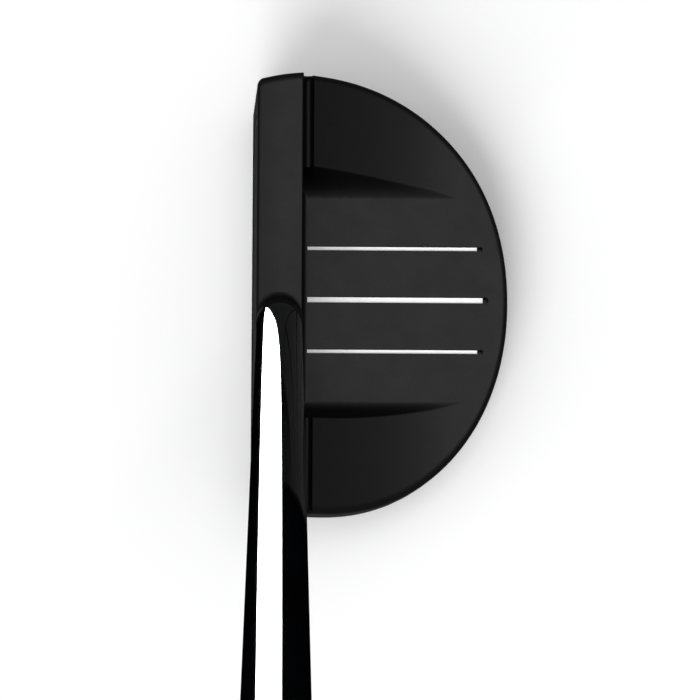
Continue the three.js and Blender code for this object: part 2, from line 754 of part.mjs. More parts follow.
addPiece('head_body', headBody(), FINISHES.blackAnodised);
addPiece('face_insert', faceInsert(), FINISHES.darkInsert);
addPiece('face_insert_tape', faceInsertTape(), FINISHES.tape);
addPiece('sole_plate', solePlate(), FINISHES.darkSteel);
for (const [name, place] of Object.entries(SCREW_PLACES)) {
  addPiece(name, soleScrew(place), FINISHES.steel);
}
addPiece('toe_weight', soleWeight(1), FINISHES.steel);
addPiece('heel_weight', soleWeight(-1), FINISHES.steel);
addPiece('toe_weight_washer', weightWasher(1), FINISHES.nylon);
addPiece('heel_weight_washer', weightWasher(-1), FINISHES.nylon);
for (const [name, line] of Object.entries(LINES)) {
  addPiece(name, paintLine(line), FINISHES.whitePaint);
}
addPiece('shaft_bond', shaftBond(), FINISHES.epoxy);
addPiece('shaft', shaft(), FINISHES.glossBlackShaft);
addPiece('grip_tape', gripTape(), FINISHES.paper);
addPiece('grip_core', gripCore(), FINISHES.foam);
addPiece('grip_skin', gripSkin(), FINISHES.gripBlack);
addPiece('grip_cap', gripCap(), FINISHES.capBlack);

export default putter;
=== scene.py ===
"""Looks of the centre-shafted mallet putter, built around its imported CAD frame.

Shapes are worked out in millimetres in the part's own frame: +X from the face to the back,
+Y from heel to toe, +Z up, origin in the middle of the flat sole. They become metres in a mesh.
"""

import math

import bmesh
import bpy
from mathutils import Matrix, Vector
from mathutils.geometry import delaunay_2d_cdt


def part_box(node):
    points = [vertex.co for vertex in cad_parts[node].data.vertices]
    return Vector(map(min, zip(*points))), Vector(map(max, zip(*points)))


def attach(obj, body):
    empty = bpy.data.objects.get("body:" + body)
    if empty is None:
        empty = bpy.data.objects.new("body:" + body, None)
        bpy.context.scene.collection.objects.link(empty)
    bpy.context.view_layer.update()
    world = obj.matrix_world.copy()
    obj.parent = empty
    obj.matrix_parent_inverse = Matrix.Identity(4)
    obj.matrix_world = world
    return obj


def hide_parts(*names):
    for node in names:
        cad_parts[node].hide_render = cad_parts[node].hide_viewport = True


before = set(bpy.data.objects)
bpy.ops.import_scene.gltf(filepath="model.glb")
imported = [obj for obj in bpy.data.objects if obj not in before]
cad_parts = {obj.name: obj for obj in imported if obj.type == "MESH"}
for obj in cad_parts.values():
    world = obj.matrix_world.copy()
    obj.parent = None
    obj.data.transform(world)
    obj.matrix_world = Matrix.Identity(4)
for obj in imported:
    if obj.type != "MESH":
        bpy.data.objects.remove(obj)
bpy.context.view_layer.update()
BODY = "root"
MM = 0.001


def node_box(node):
    """Lowest and highest corner of a CAD node, in millimetres."""
    low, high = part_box(node)
    return low / MM, high / MM


# ---------------------------------------------------------------- sizes, millimetres and degrees

LEAN = math.radians(20)          # shaft from upright
LOFT = math.radians(3)
DRAFT = math.radians(5)          # side walls drawing in towards the sole

HEAD_LOW = node_box("head_body")[0]
SOLE_RADIUS = 1.8
FACE_X = HEAD_LOW.x - SOLE_RADIUS * math.tan(LOFT)
BACK_X = 29.95
HALF_LENGTH = 47.6
CENTRE_X = -10.6
WIDEST_Z = 22.4
FRONT_STRETCH = 1.2              # ahead of the widest line the sides curve in more slowly
ROUNDNESS = 2.09

BAR_HEIGHT = 23.6
BAR_REAR = -15.1
BAR_END_RADIUS = 2.0
BAR_FRONT_RADIUS = 0.6
BAR_REAR_RADIUS = 0.35
FACE_CORNER = 1.2                # rounding of the upright edges at the toe and heel ends of the face
BAR_CROWN = 0.25

PAINT_RECESS = 0.12
FLOOR_Z = node_box("sight_line_centre")[1].z + PAINT_RECESS
WING_RISE = 10.2
WING_END = 19.8
WING_POWER = 1.7
WING_EDGE_FRONT = 1.8
WING_EDGE_BACK = 1.2
GROOVE_RADIUS = 1.1
FOOT_FILLET = 1.0
CHANNEL_HALF = 21.8
CHANNEL_WIDTH = 5.2              # run of each channel wall, a quarter ellipse
CHANNEL_HEIGHT = 10.8
CHANNEL_LIP = 0.45
SLOT_DEPTH = 0.7

SHAFT_X = (node_box("shaft_bond")[0].x + node_box("shaft_bond")[1].x) / 2
SHAFT_GROUND_Y = 1.65

WALL = 0.02                      # run of a steep wall seen from above
RIM_STEPS = 8
FRONT_END_X = -8.0               # up to here outline stations share their x


def face_x(z):
    return FACE_X + z * math.tan(LOFT)


def drawn_in(z):
    """How far the drafted side wall at height z is inside the widest outline."""
    return (WIDEST_Z - min(z, WIDEST_Z)) * math.tan(DRAFT)


BAR_TOP = BAR_HEIGHT - BAR_CROWN
BAR_FRONT_Z = BAR_TOP - BAR_FRONT_RADIUS
BAR_FRONT = face_x(BAR_FRONT_Z)


def lerp(a, b, t):
    return a + (b - a) * t


def clamp(value, low=0.0, high=1.0):
    return max(low, min(high, value))


def smoothstep(value, low, high):
    t = clamp((value - low) / (high - low))
    return t * t * (3 - 2 * t)


def spaced(first, last, count):
    return [lerp(first, last, i / (count - 1)) for i in range(count)]


# ---------------------------------------------------------------- meshes

def mesh_piece(name, points, faces, material, slot, sharp_angle=34):
    """A piece in the part's frame from points in millimetres, welded, facing out, smooth up to an angle."""
    mesh = bpy.data.meshes.new(name)
    mesh.from_pydata([Vector(p) * MM for p in points], [], faces)
    piece = bpy.data.objects.new(name, mesh)
    bpy.context.scene.collection.objects.link(piece)
    weld(mesh)
    finish_piece(piece, material, slot, sharp_angle)
    return piece


def weld(mesh):
    work = bmesh.new()
    work.from_mesh(mesh)
    bmesh.ops.remove_doubles(work, verts=work.verts, dist=1e-7)
    bmesh.ops.dissolve_degenerate(work, edges=work.edges, dist=1e-8)
    bmesh.ops.recalc_face_normals(work, faces=work.faces)
    work.to_mesh(mesh)
    work.free()


def finish_piece(piece, material, slot, sharp_angle):
    mesh = piece.data
    mesh.materials.clear()
    mesh.materials.append(material)
    mesh.shade_smooth()
    mesh.set_sharp_from_angle(angle=math.radians(sharp_angle))
    if not any(m.type == "WEIGHTED_NORMAL" for m in piece.modifiers):
        normals = piece.modifiers.new("even_normals", "WEIGHTED_NORMAL")
        normals.keep_sharp = True
    if slot:
        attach(piece, BODY)


def raw_piece(name, points, faces):
    """A plain closed mesh for cutting or joining, not shown."""
    mesh = bpy.data.meshes.new(name)
    mesh.from_pydata([Vector(p) * MM for p in points], [], faces)
    piece = bpy.data.objects.new(name, mesh)
    bpy.context.scene.collection.objects.link(piece)
    weld(mesh)
    return piece


def boolean(target, operation, *tools):
    """Cuts or joins closed meshes into the target, and removes the tools."""
    for tool in tools:
        step = target.modifiers.new("boolean", "BOOLEAN")
        step.operation = operation
        step.solver = "MANIFOLD"
        step.object = tool
    graph = bpy.context.evaluated_depsgraph_get()
    result = bpy.data.meshes.new_from_object(target.evaluated_get(graph))
    target.modifiers.clear()
    old = target.data
    target.data = result
    bpy.data.meshes.remove(old)
    for tool in tools:
        bpy.data.objects.remove(tool)
    return target


def loop_faces(count, rings, closed=True):
    """Quads between consecutive rings of count points; closed joins each ring's end to its start."""
    faces = []
    for k in range(rings - 1):
        for i in range(count if closed else count - 1):
            j = (i + 1) % count
            faces.append((k * count + i, k * count + j, (k + 1) * count + j, (k + 1) * count + i))
    return faces


def stack(rings):
    """Points and faces of a closed solid from rings, capped at both ends."""
    count = len(rings[0])
    points = [p for ring in rings for p in ring]
    faces = loop_faces(count, len(rings))
    faces.append(tuple(range(count))[::-1])
    faces.append(tuple(range((len(rings) - 1) * count, len(rings) * count)))
    return points, faces


def sleeve(rings):
    """Points and faces of a ring-shaped solid: the last ring joins back to the first."""
    count = len(rings[0])
    points = [p for ring in rings for p in ring]
    faces = loop_faces(count, len(rings))
    last = (len(rings) - 1) * count
    for i in range(count):
        j = (i + 1) % count
        faces.append((last + i, last + j, j, i))
    return points, faces


def circle(radius, z, steps, centre=(0.0, 0.0)):
    turns = [2 * math.pi * i / steps for i in range(steps)]
    return [(centre[0] + radius * math.cos(t), centre[1] + radius * math.sin(t), z) for t in turns]


# ---------------------------------------------------------------- head outline

def half_length(x, inset=0.0):
    depth = BACK_X - inset - CENTRE_X
    if x < CENTRE_X:
        depth *= FRONT_STRETCH
    along = min(1.0, abs(x - CENTRE_X) / depth)
    half = (HALF_LENGTH - inset) * (1 - along ** ROUNDNESS) ** (1 / ROUNDNESS)
    to_corner = FACE_CORNER - (x - BAR_FRONT)
    if to_corner > 0:
        half -= FACE_CORNER - math.sqrt(FACE_CORNER ** 2 - min(to_corner, FACE_CORNER) ** 2)
    return half


def wing_top(x):
    left = clamp((WING_END - x) / (WING_END - BAR_REAR - GROOVE_RADIUS))
    return FLOOR_Z + WING_RISE * left ** WING_POWER


def edge_radius(x):
    """Rounding of the head's upper outer edge."""
    if x <= BAR_REAR:
        return BAR_END_RADIUS
    back = clamp((x - BAR_REAR) / (BACK_X - BAR_REAR))
    return lerp(WING_EDGE_FRONT, WING_EDGE_BACK, back)


def quarter_steps(radius, count):
    """Distances in from an edge at even turns of a quarter round."""
    return [radius * (1 - math.cos(math.pi / 2 * i / count)) for i in range(count + 1)]


def front_stations():
    """The x of every outline station from the face to FRONT_END_X, denser at edges and in the groove."""
    xs = [BAR_FRONT + d for d in quarter_steps(BAR_FRONT_RADIUS, 5)]
    xs += spaced(BAR_FRONT + BAR_FRONT_RADIUS, BAR_FRONT + FACE_CORNER, 4)[1:]
    xs += spaced(BAR_FRONT + FACE_CORNER, BAR_REAR - BAR_REAR_RADIUS, 8)[1:]
    xs += [BAR_REAR - BAR_REAR_RADIUS * math.cos(math.pi / 2 * i / 4) for i in range(1, 5)]
    groove_centre = BAR_REAR + GROOVE_RADIUS
    turns = [math.pi * i / 14 for i in range(1, 15)]
    xs += [BAR_REAR + WALL]
    xs += [groove_centre - GROOVE_RADIUS * math.cos(t) for t in turns]
    lip = groove_centre + GROOVE_RADIUS
    xs += [lip + step for step in (0.05, 0.12, 0.25)]
    xs += spaced(lip + 0.6, FRONT_END_X, 6)
    return xs


FRONT_XS = front_stations()
TURN_COUNT = 110


def outline_half(inset_at):
    """Heel-to-tip points of the outline, drawn in by inset_at(x) at each station, as positive-y points."""
    points = []
    for x in FRONT_XS:
        points.append((x, half_length(x, inset_at(x))))
    for i in range(1, TURN_COUNT + 1):
        part = 1 - i / TURN_COUNT
        base_x, _ = turn_point(part, 0.0)
        points.append(turn_point(part, inset_at(base_x)))
    return points


def turn_point(part, inset):
    """Point on the round back: part runs from 1 at FRONT_END_X to 0 at the tip."""
    depth = BACK_X - inset - CENTRE_X
    start = math.acos(((FRONT_END_X - CENTRE_X) / depth) ** (ROUNDNESS / 2))
    turn = part * start
    x = CENTRE_X + depth * math.cos(turn) ** (2 / ROUNDNESS)
    y = (HALF_LENGTH - inset) * math.sin(turn) ** (2 / ROUNDNESS)
    return x, y


def both_sides(half):
    """Heel front corner, round the tip, to the toe front corner."""
    heel = [(x, -y) for x, y in half]
    return heel + [(x, y) for x, y in half[-2::-1]]


# ---------------------------------------------------------------- head surface

def bar_top(x):
    across = (x - BAR_FRONT) / (BAR_REAR - BAR_FRONT)
    z = BAR_TOP + BAR_CROWN * (1 - (2 * across - 1) ** 2)
    for radius, distance in ((BAR_FRONT_RADIUS, x - BAR_FRONT), (BAR_REAR_RADIUS, BAR_REAR - x)):
        if distance < radius:
            z -= radius - math.sqrt(max(0.0, radius ** 2 - (radius - distance) ** 2))
    return z


def groove_or_wing(x):
    centre = BAR_REAR + GROOVE_RADIUS
    if x < centre + GROOVE_RADIUS:
        return wing_top(BAR_REAR) - math.sqrt(max(0.0, GROOVE_RADIUS ** 2 - (x - centre) ** 2))
    return wing_top(x)


def channel_wall(y):
    """Height of the channel's floor and quarter-ellipse walls, or None outside them."""
    out = (abs(y) - CHANNEL_HALF) / CHANNEL_WIDTH
    if out <= 0:
        return FLOOR_Z
    if out >= 1:
        return None
    return FLOOR_Z + CHANNEL_HEIGHT * (1 - math.sqrt(1 - out ** 2))


def smooth_min(a, b, blend):
    if blend < 1e-6:
        return min(a, b)
    share = clamp(0.5 + 0.5 * (b - a) / blend)
    return lerp(b, a, share) - blend * share * (1 - share)


def top_height(x, y):
    """Upper surface of the head, before its outer edge is rounded."""
    if x <= BAR_REAR + WALL / 4:
        return bar_top(x)
    z = groove_or_wing(x)
    wall = channel_wall(y)
    if wall is not None:
        z = smooth_min(z, wall, min(CHANNEL_LIP, 0.6 * (z - FLOOR_Z)))
        behind_bar = x - BAR_REAR
        if behind_bar < FOOT_FILLET:
            fillet = FOOT_FILLET - math.sqrt(FOOT_FILLET ** 2 - (FOOT_FILLET - behind_bar) ** 2)
            z = max(z, FLOOR_Z + fillet)
    for line in SIGHT_LINES:
        if slot_distance(line, x, y) < -WALL / 2:
            return FLOOR_Z - slot_depth(line, x)
    return z


def edge_inset(x, turn):
    """How far the rounded upper edge is inside the widest outline, at a turn up its quarter round."""
    radius = edge_radius(x)
    top = BAR_TOP if x <= BAR_REAR else wing_top(x)
    return drawn_in(top - radius) + radius * (1 - math.cos(turn))


def flat_inset(x):
    return edge_inset(x, math.pi / 2)


def lofted(x, z):
    """Moves a point of the bar so that its front stays in the leaning face plane."""
    if x >= BAR_REAR:
        return x
    share = (BAR_REAR - x) / (BAR_REAR - BAR_FRONT)
    return x - (BAR_FRONT_Z - z) * math.tan(LOFT) * share if z < BAR_FRONT_Z else x


# ---------------------------------------------------------------- sight lines

def sight_line(node):
    """A line's slot, from the painted fill that the frame puts in it."""
    low, high = node_box(node)
    width = high.y - low.y + 0.06
    return {"y": (low.y + high.y) / 2, "half": width / 2, "start": low.x - 0.03, "end": high.x + 1.2}


SIGHT_LINES = [sight_line(n) for n in ("sight_line_toe", "sight_line_centre", "sight_line_heel")]
PLUNGE = 1.2                     # the cutter's plunge mark, times the line's width
PLUNGE_DEPTH = 1.5
PLUNGE_START = 1.6               # the slot deepens over its last stretch, under the end of the paint
PLUNGE_SLOPE = 0.4


def slot_distance(line, x, y):
    """Signed distance to the slot's edge, below zero inside."""
    plunge = line["half"] * PLUNGE
    centre = line["end"] - plunge
    straight = max(abs(y - line["y"]) - line["half"], line["start"] - x, x - centre)
    return min(straight, math.hypot(x - centre, y - line["y"]) - plunge)


def slot_depth(line, x):
    start = line["end"] - PLUNGE_START
    return lerp(SLOT_DEPTH, PLUNGE_DEPTH, smoothstep(x, start, start + PLUNGE_SLOPE))


def slot_outline(line, inset):
    half = line["half"] - inset
    plunge = line["half"] * PLUNGE - inset
    centre = line["end"] - line["half"] * PLUNGE
    open_turn = math.pi - math.asin(half / plunge)
    points = [(line["start"] + inset, -half)]
    turns = spaced(-open_turn, open_turn, 15)
    points += [(centre + plunge * math.cos(t), plunge * math.sin(t)) for t in turns]
    points.append((line["start"] + inset, half))
    return [(x, y + line["y"]) for x, y in points]


# ---------------------------------------------------------------- head mesh

def channel_rim(x):
    """Half width of the channel's open top at x."""
    rise = clamp((groove_or_wing(x) - FLOOR_Z) / CHANNEL_HEIGHT)
    return CHANNEL_HALF + CHANNEL_WIDTH * math.sqrt(1 - (1 - rise) ** 2)


def top_patch(boundary):
    """The head's upper surface inside its rounded edge, with an edge line along every feature."""
    points, edges = [], []

    def add_line(line, closed=False):
        first = len(points)
        points.extend(line)
        edges.extend((first + i, first + i + 1) for i in range(len(line) - 1))
        if closed:
            edges.append((first + len(line) - 1, first))

    add_line(boundary, closed=True)
    back_xs = spaced(FRONT_END_X + 0.9, WING_END, 26) + spaced(WING_END + 1.2, BACK_X - 2.5, 6)
    for x in FRONT_XS[1:]:
        reach = half_length(x, flat_inset(x))
        add_line([(x, -reach), (x, reach)])
    for x in back_xs:
        reach = half_length(x, flat_inset(x)) - 0.3
        add_line([(x, -reach), (x, reach)])
    feature_xs = [x for x in FRONT_XS if x > BAR_REAR + WALL / 4] + [x for x in back_xs if x <= WING_END]
    wall_ys = [CHANNEL_HALF + CHANNEL_WIDTH * math.sin(math.pi / 2 * i / 16) for i in range(17)]
    for side in (-1, 1):
        for y in wall_ys:
            add_line([(feature_xs[0], side * y), (feature_xs[-1], side * y)])
        for off in (-0.3, -0.12, -0.04, 0.04, 0.12, 0.3):
            add_line([(x, side * (channel_rim(x) + off)) for x in feature_xs])
    for line in SIGHT_LINES:
        add_line(slot_outline(line, 0.0), closed=True)
        add_line(slot_outline(line, WALL), closed=True)
    flat = [Vector(p) for p in points]
    loop = list(range(len(boundary)))
    found, _, faces, _, _, _ = delaunay_2d_cdt(flat, edges, [loop], 1, 1e-6)
    return [(p.x, p.y) for p in found], faces


def head_shell():
    """Closed mesh of the head body without its pockets, collar and post."""
    points, faces = [], []

    def add_points(new):
        first = len(points)
        points.extend(new)
        return list(range(first, len(points)))

    def strip(lower, upper):
        for i in range(len(lower) - 1):
            faces.append((lower[i], lower[i + 1], upper[i + 1], upper[i]))

    def surface_point(x, y, drop=0.0):
        x = round(x, 5)              # the triangulated points come back in single precision
        z = top_height(x, y) - drop
        return (lofted(x, z), y, z)

    sole_rings = []
    for k in range(RIM_STEPS + 1):
        turn = math.pi / 2 * k / RIM_STEPS
        z = SOLE_RADIUS * (1 - math.cos(turn))
        inset = SOLE_RADIUS * (1 - math.sin(turn))
        front = face_x(z) + inset
        inset += drawn_in(z)
        stretch = (FRONT_END_X - front) / (FRONT_END_X - BAR_FRONT)
        ring = []
        for (x, y) in both_sides(outline_half(lambda x: inset)):
            if x < FRONT_END_X:
                x = FRONT_END_X - (FRONT_END_X - x) * stretch
                y = math.copysign(half_length(x, inset), y)
            ring.append((x, y, z))
        sole_rings.append(add_points(ring))
    faces.append(tuple(sole_rings[0]))
    for lower, upper in zip(sole_rings, sole_rings[1:]):
        strip(lower + lower[:1], upper + upper[:1])

    rim_rings = []
    for k in range(RIM_STEPS + 1):
        turn = math.pi / 2 * k / RIM_STEPS
        flat = both_sides(outline_half(lambda x: edge_inset(x, turn)))
        full = both_sides(outline_half(lambda x: 0.0))
        ring = []
        for (x, y), (base_x, _) in zip(flat, full):
            ring.append(surface_point(x, y, edge_radius(base_x) * (1 - math.sin(turn))))
        rim_rings.append(add_points(ring))
    strip(sole_rings[-1], rim_rings[0])
    for lower, upper in zip(rim_rings, rim_rings[1:]):
        strip(lower, upper)

    inner = both_sides(outline_half(flat_inset))
    front_ys = spaced(inner[-1][1], inner[0][1], 49)[1:-1]
    front_line = [(BAR_FRONT, y) for y in front_ys]
    patch_points, patch_faces = top_patch(inner + front_line)
    placed = add_points([surface_point(x, y) for x, y in patch_points])
    faces.extend(tuple(placed[i] for i in face) for face in patch_faces)

    front = add_points([surface_point(x, y) for x, y in front_line])
    toe_side = [ring[-1] for ring in rim_rings]
    heel_side = [ring[0] for ring in rim_rings][::-1]
    faces.append(tuple([sole_rings[-1][0], sole_rings[-1][-1]] + toe_side + front + heel_side))
    return points, faces


# ---------------------------------------------------------------- along the shaft

def along_shaft(z):
    """Distance up the shaft axis, from the ground, of a height on the axis."""
    return z / math.cos(LEAN)


def leaned(points):
    """Points given about the shaft axis, placed in the part's frame."""
    turn = Matrix.Rotation(LEAN, 3, "X")
    foot = Vector((SHAFT_X, SHAFT_GROUND_Y, 0))
    return [turn @ Vector(p) + foot for p in points]


def turned(profile, steps):
    """Rings about +Z from (radius, z) pairs."""
    return [circle(radius, z, steps) for radius, z in profile]


COLLAR_RADIUS = 4.9
COLLAR_TOP = along_shaft(29.0)
COLLAR_EDGE = 0.28
COLLAR_FILLET = 1.1
POST_RADIUS = 3.95
POST_LENGTH = 27.0


def collar_rings(steps=96):
    """The collar's fillet follows the top line's plane; it fades out at the bar's long edges."""
    rings = []

    def on_plane(turn, radius, z):
        y = radius * math.sin(turn)
        return (radius * math.cos(turn), y, (z - y * math.sin(LEAN)) / math.cos(LEAN))

    turns = [2 * math.pi * i / steps for i in range(steps)]
    reach = [COLLAR_FILLET * math.sin(t) ** 2 + 0.08 for t in turns]
    rings.append([on_plane(t, COLLAR_RADIUS + r, BAR_TOP - 1.5) for t, r in zip(turns, reach)])
    for k in range(9):
        part = math.pi / 2 * k / 8
        spread = 1 - math.sin(part)
        rise = 1 - math.cos(part)
        rings.append([on_plane(t, COLLAR_RADIUS + r * spread, BAR_HEIGHT - 0.02 + r * rise)
                      for t, r in zip(turns, reach)])
    for k in range(7):
        part = math.pi / 2 * k / 6
        inset = COLLAR_EDGE * (1 - math.cos(part))
        rings.append(circle(COLLAR_RADIUS - inset, COLLAR_TOP - COLLAR_EDGE * (1 - math.sin(part)), steps))
    return rings


def collar_and_post():
    post = [(POST_RADIUS, COLLAR_TOP), (POST_RADIUS, COLLAR_TOP + POST_LENGTH - 0.8),
            (POST_RADIUS - 0.8, COLLAR_TOP + POST_LENGTH)]
    points, faces = stack(collar_rings() + turned(post, 96))
    return raw_piece("collar_tool", leaned(points), faces)


# ---------------------------------------------------------------- pockets in the head

FIT_GAP = 0.1
INSERT_LENGTH = 78.0
INSERT_HEIGHT = 16.0
INSERT_THICKNESS = 2.6
INSERT_CENTRE_Z = 12.2
INSERT_CORNER = 5.0
FACE_RECESS = 0.15
TAPE_THICKNESS = 0.4
MOUTH = 0.25                     # bevel around the mouth of a pocket


def rounded_outline(length, height, radius, arc_steps=14):
    """Points round a rectangle with round corners."""
    corners = ((1, -1, -90), (1, 1, 0), (-1, 1, 90), (-1, -1, 180))
    points = []
    for side, up, start in corners:
        for turn in spaced(math.radians(start), math.radians(start + 90), arc_steps):
            points.append((side * (length / 2 - radius) + radius * math.cos(turn),
                           up * (height / 2 - radius) + radius * math.sin(turn)))
    return points


def on_face(point, depth):
    """Place of a point (along y, up the face) at a depth behind the face plane."""
    y, up = point
    return (face_x(INSERT_CENTRE_Z) + depth * math.cos(LOFT) + up * math.sin(LOFT),
            y, INSERT_CENTRE_Z - depth * math.sin(LOFT) + up * math.cos(LOFT))


def face_slab(levels):
    """A slab in the face plane from (growth, depth) pairs."""
    rings = []
    for grow, depth in levels:
        ring = rounded_outline(INSERT_LENGTH + 2 * grow, INSERT_HEIGHT + 2 * grow, INSERT_CORNER + grow)
        rings.append([on_face(p, depth) for p in ring])
    return stack(rings)


def face_pocket():
    back = FACE_RECESS + INSERT_THICKNESS + TAPE_THICKNESS + 2 * FIT_GAP
    return raw_piece("face_pocket", *face_slab([
        (FIT_GAP + MOUTH + 1, -1), (FIT_GAP + MOUTH, 0), (FIT_GAP, MOUTH), (FIT_GAP, back),
    ]))


PLATE_FRONT = -19.5
PLATE_CENTRE = -14.0
PLATE_BACK = 24.4
PLATE_HALF = 42.3
PLATE_THICKNESS = 3.0
PLATE_SEAT = 3.3
PLATE_EDGE = 0.35


def d_outline(inset, steps=120):
    """The sole plate's D, from the heel's front corner round the back to the toe's."""
    depth = PLATE_BACK - inset - PLATE_CENTRE
    front_depth = (PLATE_BACK - PLATE_CENTRE) * FRONT_STRETCH
    ahead = PLATE_CENTRE - PLATE_FRONT - inset
    start = math.acos(-(ahead / front_depth) ** (ROUNDNESS / 2))
    heel = []
    for i in range(steps // 2 + 1):
        cos = math.cos(start * (1 - i / (steps // 2)))
        sin = math.sqrt(max(0.0, 1 - cos * cos))
        reach = depth if cos > 0 else -front_depth
        x = PLATE_CENTRE + reach * abs(cos) ** (2 / ROUNDNESS)
        heel.append((x, -(PLATE_HALF - inset) * sin ** (2 / ROUNDNESS)))
    return heel + [(x, -y) for x, y in heel[-2::-1]]


def plate_block(levels):
    return stack([[(x, y, z) for x, y in d_outline(inset)] for inset, z in levels])


def plate_pocket():
    return raw_piece("plate_pocket", *plate_block([
        (-FIT_GAP - MOUTH - 1, -1), (-FIT_GAP - MOUTH, 0), (-FIT_GAP, MOUTH), (-FIT_GAP, PLATE_SEAT),
    ]))


SCREWS = ("sole_screw_toe_front", "sole_screw_heel_front", "sole_screw_toe_rear", "sole_screw_heel_rear")
WEIGHTS = ("toe_weight", "heel_weight")
SCREW_HEAD = 2.8
SCREW_SHANK = 1.5
WEIGHT_RADIUS = 7.4
CAVITY_INSET = 3.4
CAVITY_TOP = 8.9
SCREW_BOSS = 3.6
WEIGHT_BOSS = 9.2


def centre_of(node):
    low, high = node_box(node)
    return ((low.x + high.x) / 2, (low.y + high.y) / 2)


def rod(name, radius, low, high, centre, steps=64):
    return raw_piece(name, *stack([circle(radius, low, steps, centre), circle(radius, high, steps, centre)]))


def cavity():
    """The hollow above the sole plate, with round bosses left for the screws and the weights."""
    hollow = raw_piece("cavity", *plate_block([(CAVITY_INSET, 1), (CAVITY_INSET, CAVITY_TOP)]))
    bosses = [rod("boss", SCREW_BOSS, 0, CAVITY_TOP + 1, centre_of(n)) for n in SCREWS]
    bosses += [rod("boss", WEIGHT_BOSS, 0, CAVITY_TOP + 1, centre_of(n)) for n in WEIGHTS]
    return boolean(hollow, "DIFFERENCE", *bosses)


def screw_hole(node):
    return rod("hole", SCREW_SHANK + FIT_GAP, 1, node_box(node)[1].z + 0.5, centre_of(node), 40)


def weight_port(node):
    washer_top = node_box(node + "_washer")[1].z
    return rod("port", WEIGHT_RADIUS + FIT_GAP, -1, washer_top + FIT_GAP, centre_of(node), 96)


def make_head(material):
    shell = raw_piece("head_shell", *head_shell())
    boolean(shell, "UNION", collar_and_post())
    tools = [face_pocket(), plate_pocket(), cavity()]
    tools += [screw_hole(n) for n in SCREWS]
    tools += [weight_port(n) for n in WEIGHTS]
    boolean(shell, "DIFFERENCE", *tools)
    finish_piece(shell, material, "black_body", 34)
    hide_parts("head_body")


# ---------------------------------------------------------------- pieces let into the head

GROOVE_PITCH = 1.0
GROOVE_WIDTH = 0.34
GROOVE_DEPTH = 0.09
GROOVE_ROWS = 7                  # above the middle one, and as many below it
GROOVE_END = 1.6                 # from a groove's end to the insert's edge


def milled_depth(up):
    """Depth of the shallow grooves that run along the insert's face."""
    if abs(up) > INSERT_HEIGHT / 2 - 1.2:
        return 0.0
    off = abs((up / GROOVE_PITCH + 0.5) % 1 - 0.5) * GROOVE_PITCH
    return GROOVE_DEPTH if off < GROOVE_WIDTH / 2 else 0.0


def groove_half_length(up):
    """Half the length of a groove at this height, shorter where the insert's corners are round."""
    bend = max(0.0, abs(up) - (INSERT_HEIGHT / 2 - INSERT_CORNER))
    round_part = math.sqrt(max(0.0, INSERT_CORNER ** 2 - bend ** 2))
    return INSERT_LENGTH / 2 - INSERT_CORNER + round_part - GROOVE_END


def make_insert(material):
    """The insert: a slab with a bevelled front edge and a field of milled grooves."""
    bevel = 0.2
    rings = [rounded_outline(INSERT_LENGTH - 2 * inset, INSERT_HEIGHT - 2 * inset, INSERT_CORNER - inset)
             for inset in (0, 0, bevel)]
    depths = (FACE_RECESS + INSERT_THICKNESS, FACE_RECESS + bevel, FACE_RECESS)
    points = [on_face(p, d) for ring, d in zip(rings, depths) for p in ring]
    count = len(rings[0])
    faces = loop_faces(count, 3) + [tuple(range(count))[::-1]]
    flat = [Vector(p) for p in rings[2]]
    edges = [(i, (i + 1) % count) for i in range(count)]
    edge = GROOVE_WIDTH / 2
    for k in range(-GROOVE_ROWS, GROOVE_ROWS + 1):
        for off in (-edge - 0.05, -edge + 0.03, edge - 0.03, edge + 0.05):
            up = k * GROOVE_PITCH + off
            half = groove_half_length(up)
            ends = [-half, -half + 0.15, half - 0.15, half]
            first = len(flat)
            flat += [Vector((y, up)) for y in ends]
            edges += [(first + i, first + i + 1) for i in range(3)]
    found, _, cells, _, _, _ = delaunay_2d_cdt(flat, edges, [list(range(count))], 1, 1e-6)
    first = len(points)
    for p in found:
        depth = milled_depth(p.y) if abs(p.x) < groove_half_length(p.y) - 0.1 else 0.0
        points.append(on_face(p, FACE_RECESS + depth))
    faces += [tuple(first + i for i in cell) for cell in cells]
    piece = mesh_piece("milled_face_insert", points, faces, material, "face_metal", 25)
    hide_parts("face_insert")


def make_plate(material):
    edge = PLATE_EDGE
    plate = raw_piece("bevelled_sole_plate", *plate_block([
        (edge, 0), (edge * 0.3, edge * 0.3), (0, edge), (0, PLATE_THICKNESS),
    ]))
    tools = []
    for node in SCREWS:
        top = node_box(node)[0].z
        head = SCREW_HEAD + FIT_GAP
        shank = SCREW_SHANK + FIT_GAP
        levels = [(head + MOUTH + 1, -1), (head + MOUTH, 0), (head, MOUTH), (head, MOUTH + 0.02),
                  (shank, top + 1.6), (shank, 4)]
        tools.append(raw_piece("sink", *stack([circle(r, z, 64, centre_of(node)) for r, z in levels])))
    for node in WEIGHTS:
        port = WEIGHT_RADIUS + FIT_GAP
        levels = [(port + MOUTH + 1, -1), (port + MOUTH, 0), (port, MOUTH), (port, 4)]
        tools.append(raw_piece("port", *stack([circle(r, z, 96, centre_of(node)) for r, z in levels])))
    boolean(plate, "DIFFERENCE", *tools)
    finish_piece(plate, material, "sole_metal", 30)
    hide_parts("sole_plate")


def hex_socket(corners, low, high, centre):
    """A hexagonal hole with a chamfered mouth."""
    radius = corners / 2
    levels = [(radius + 0.35, low - 0.5), (radius + 0.15, low), (radius, low + 0.15), (radius, high)]
    return raw_piece("socket", *stack([circle(r, z, 6, centre) for r, z in levels]))


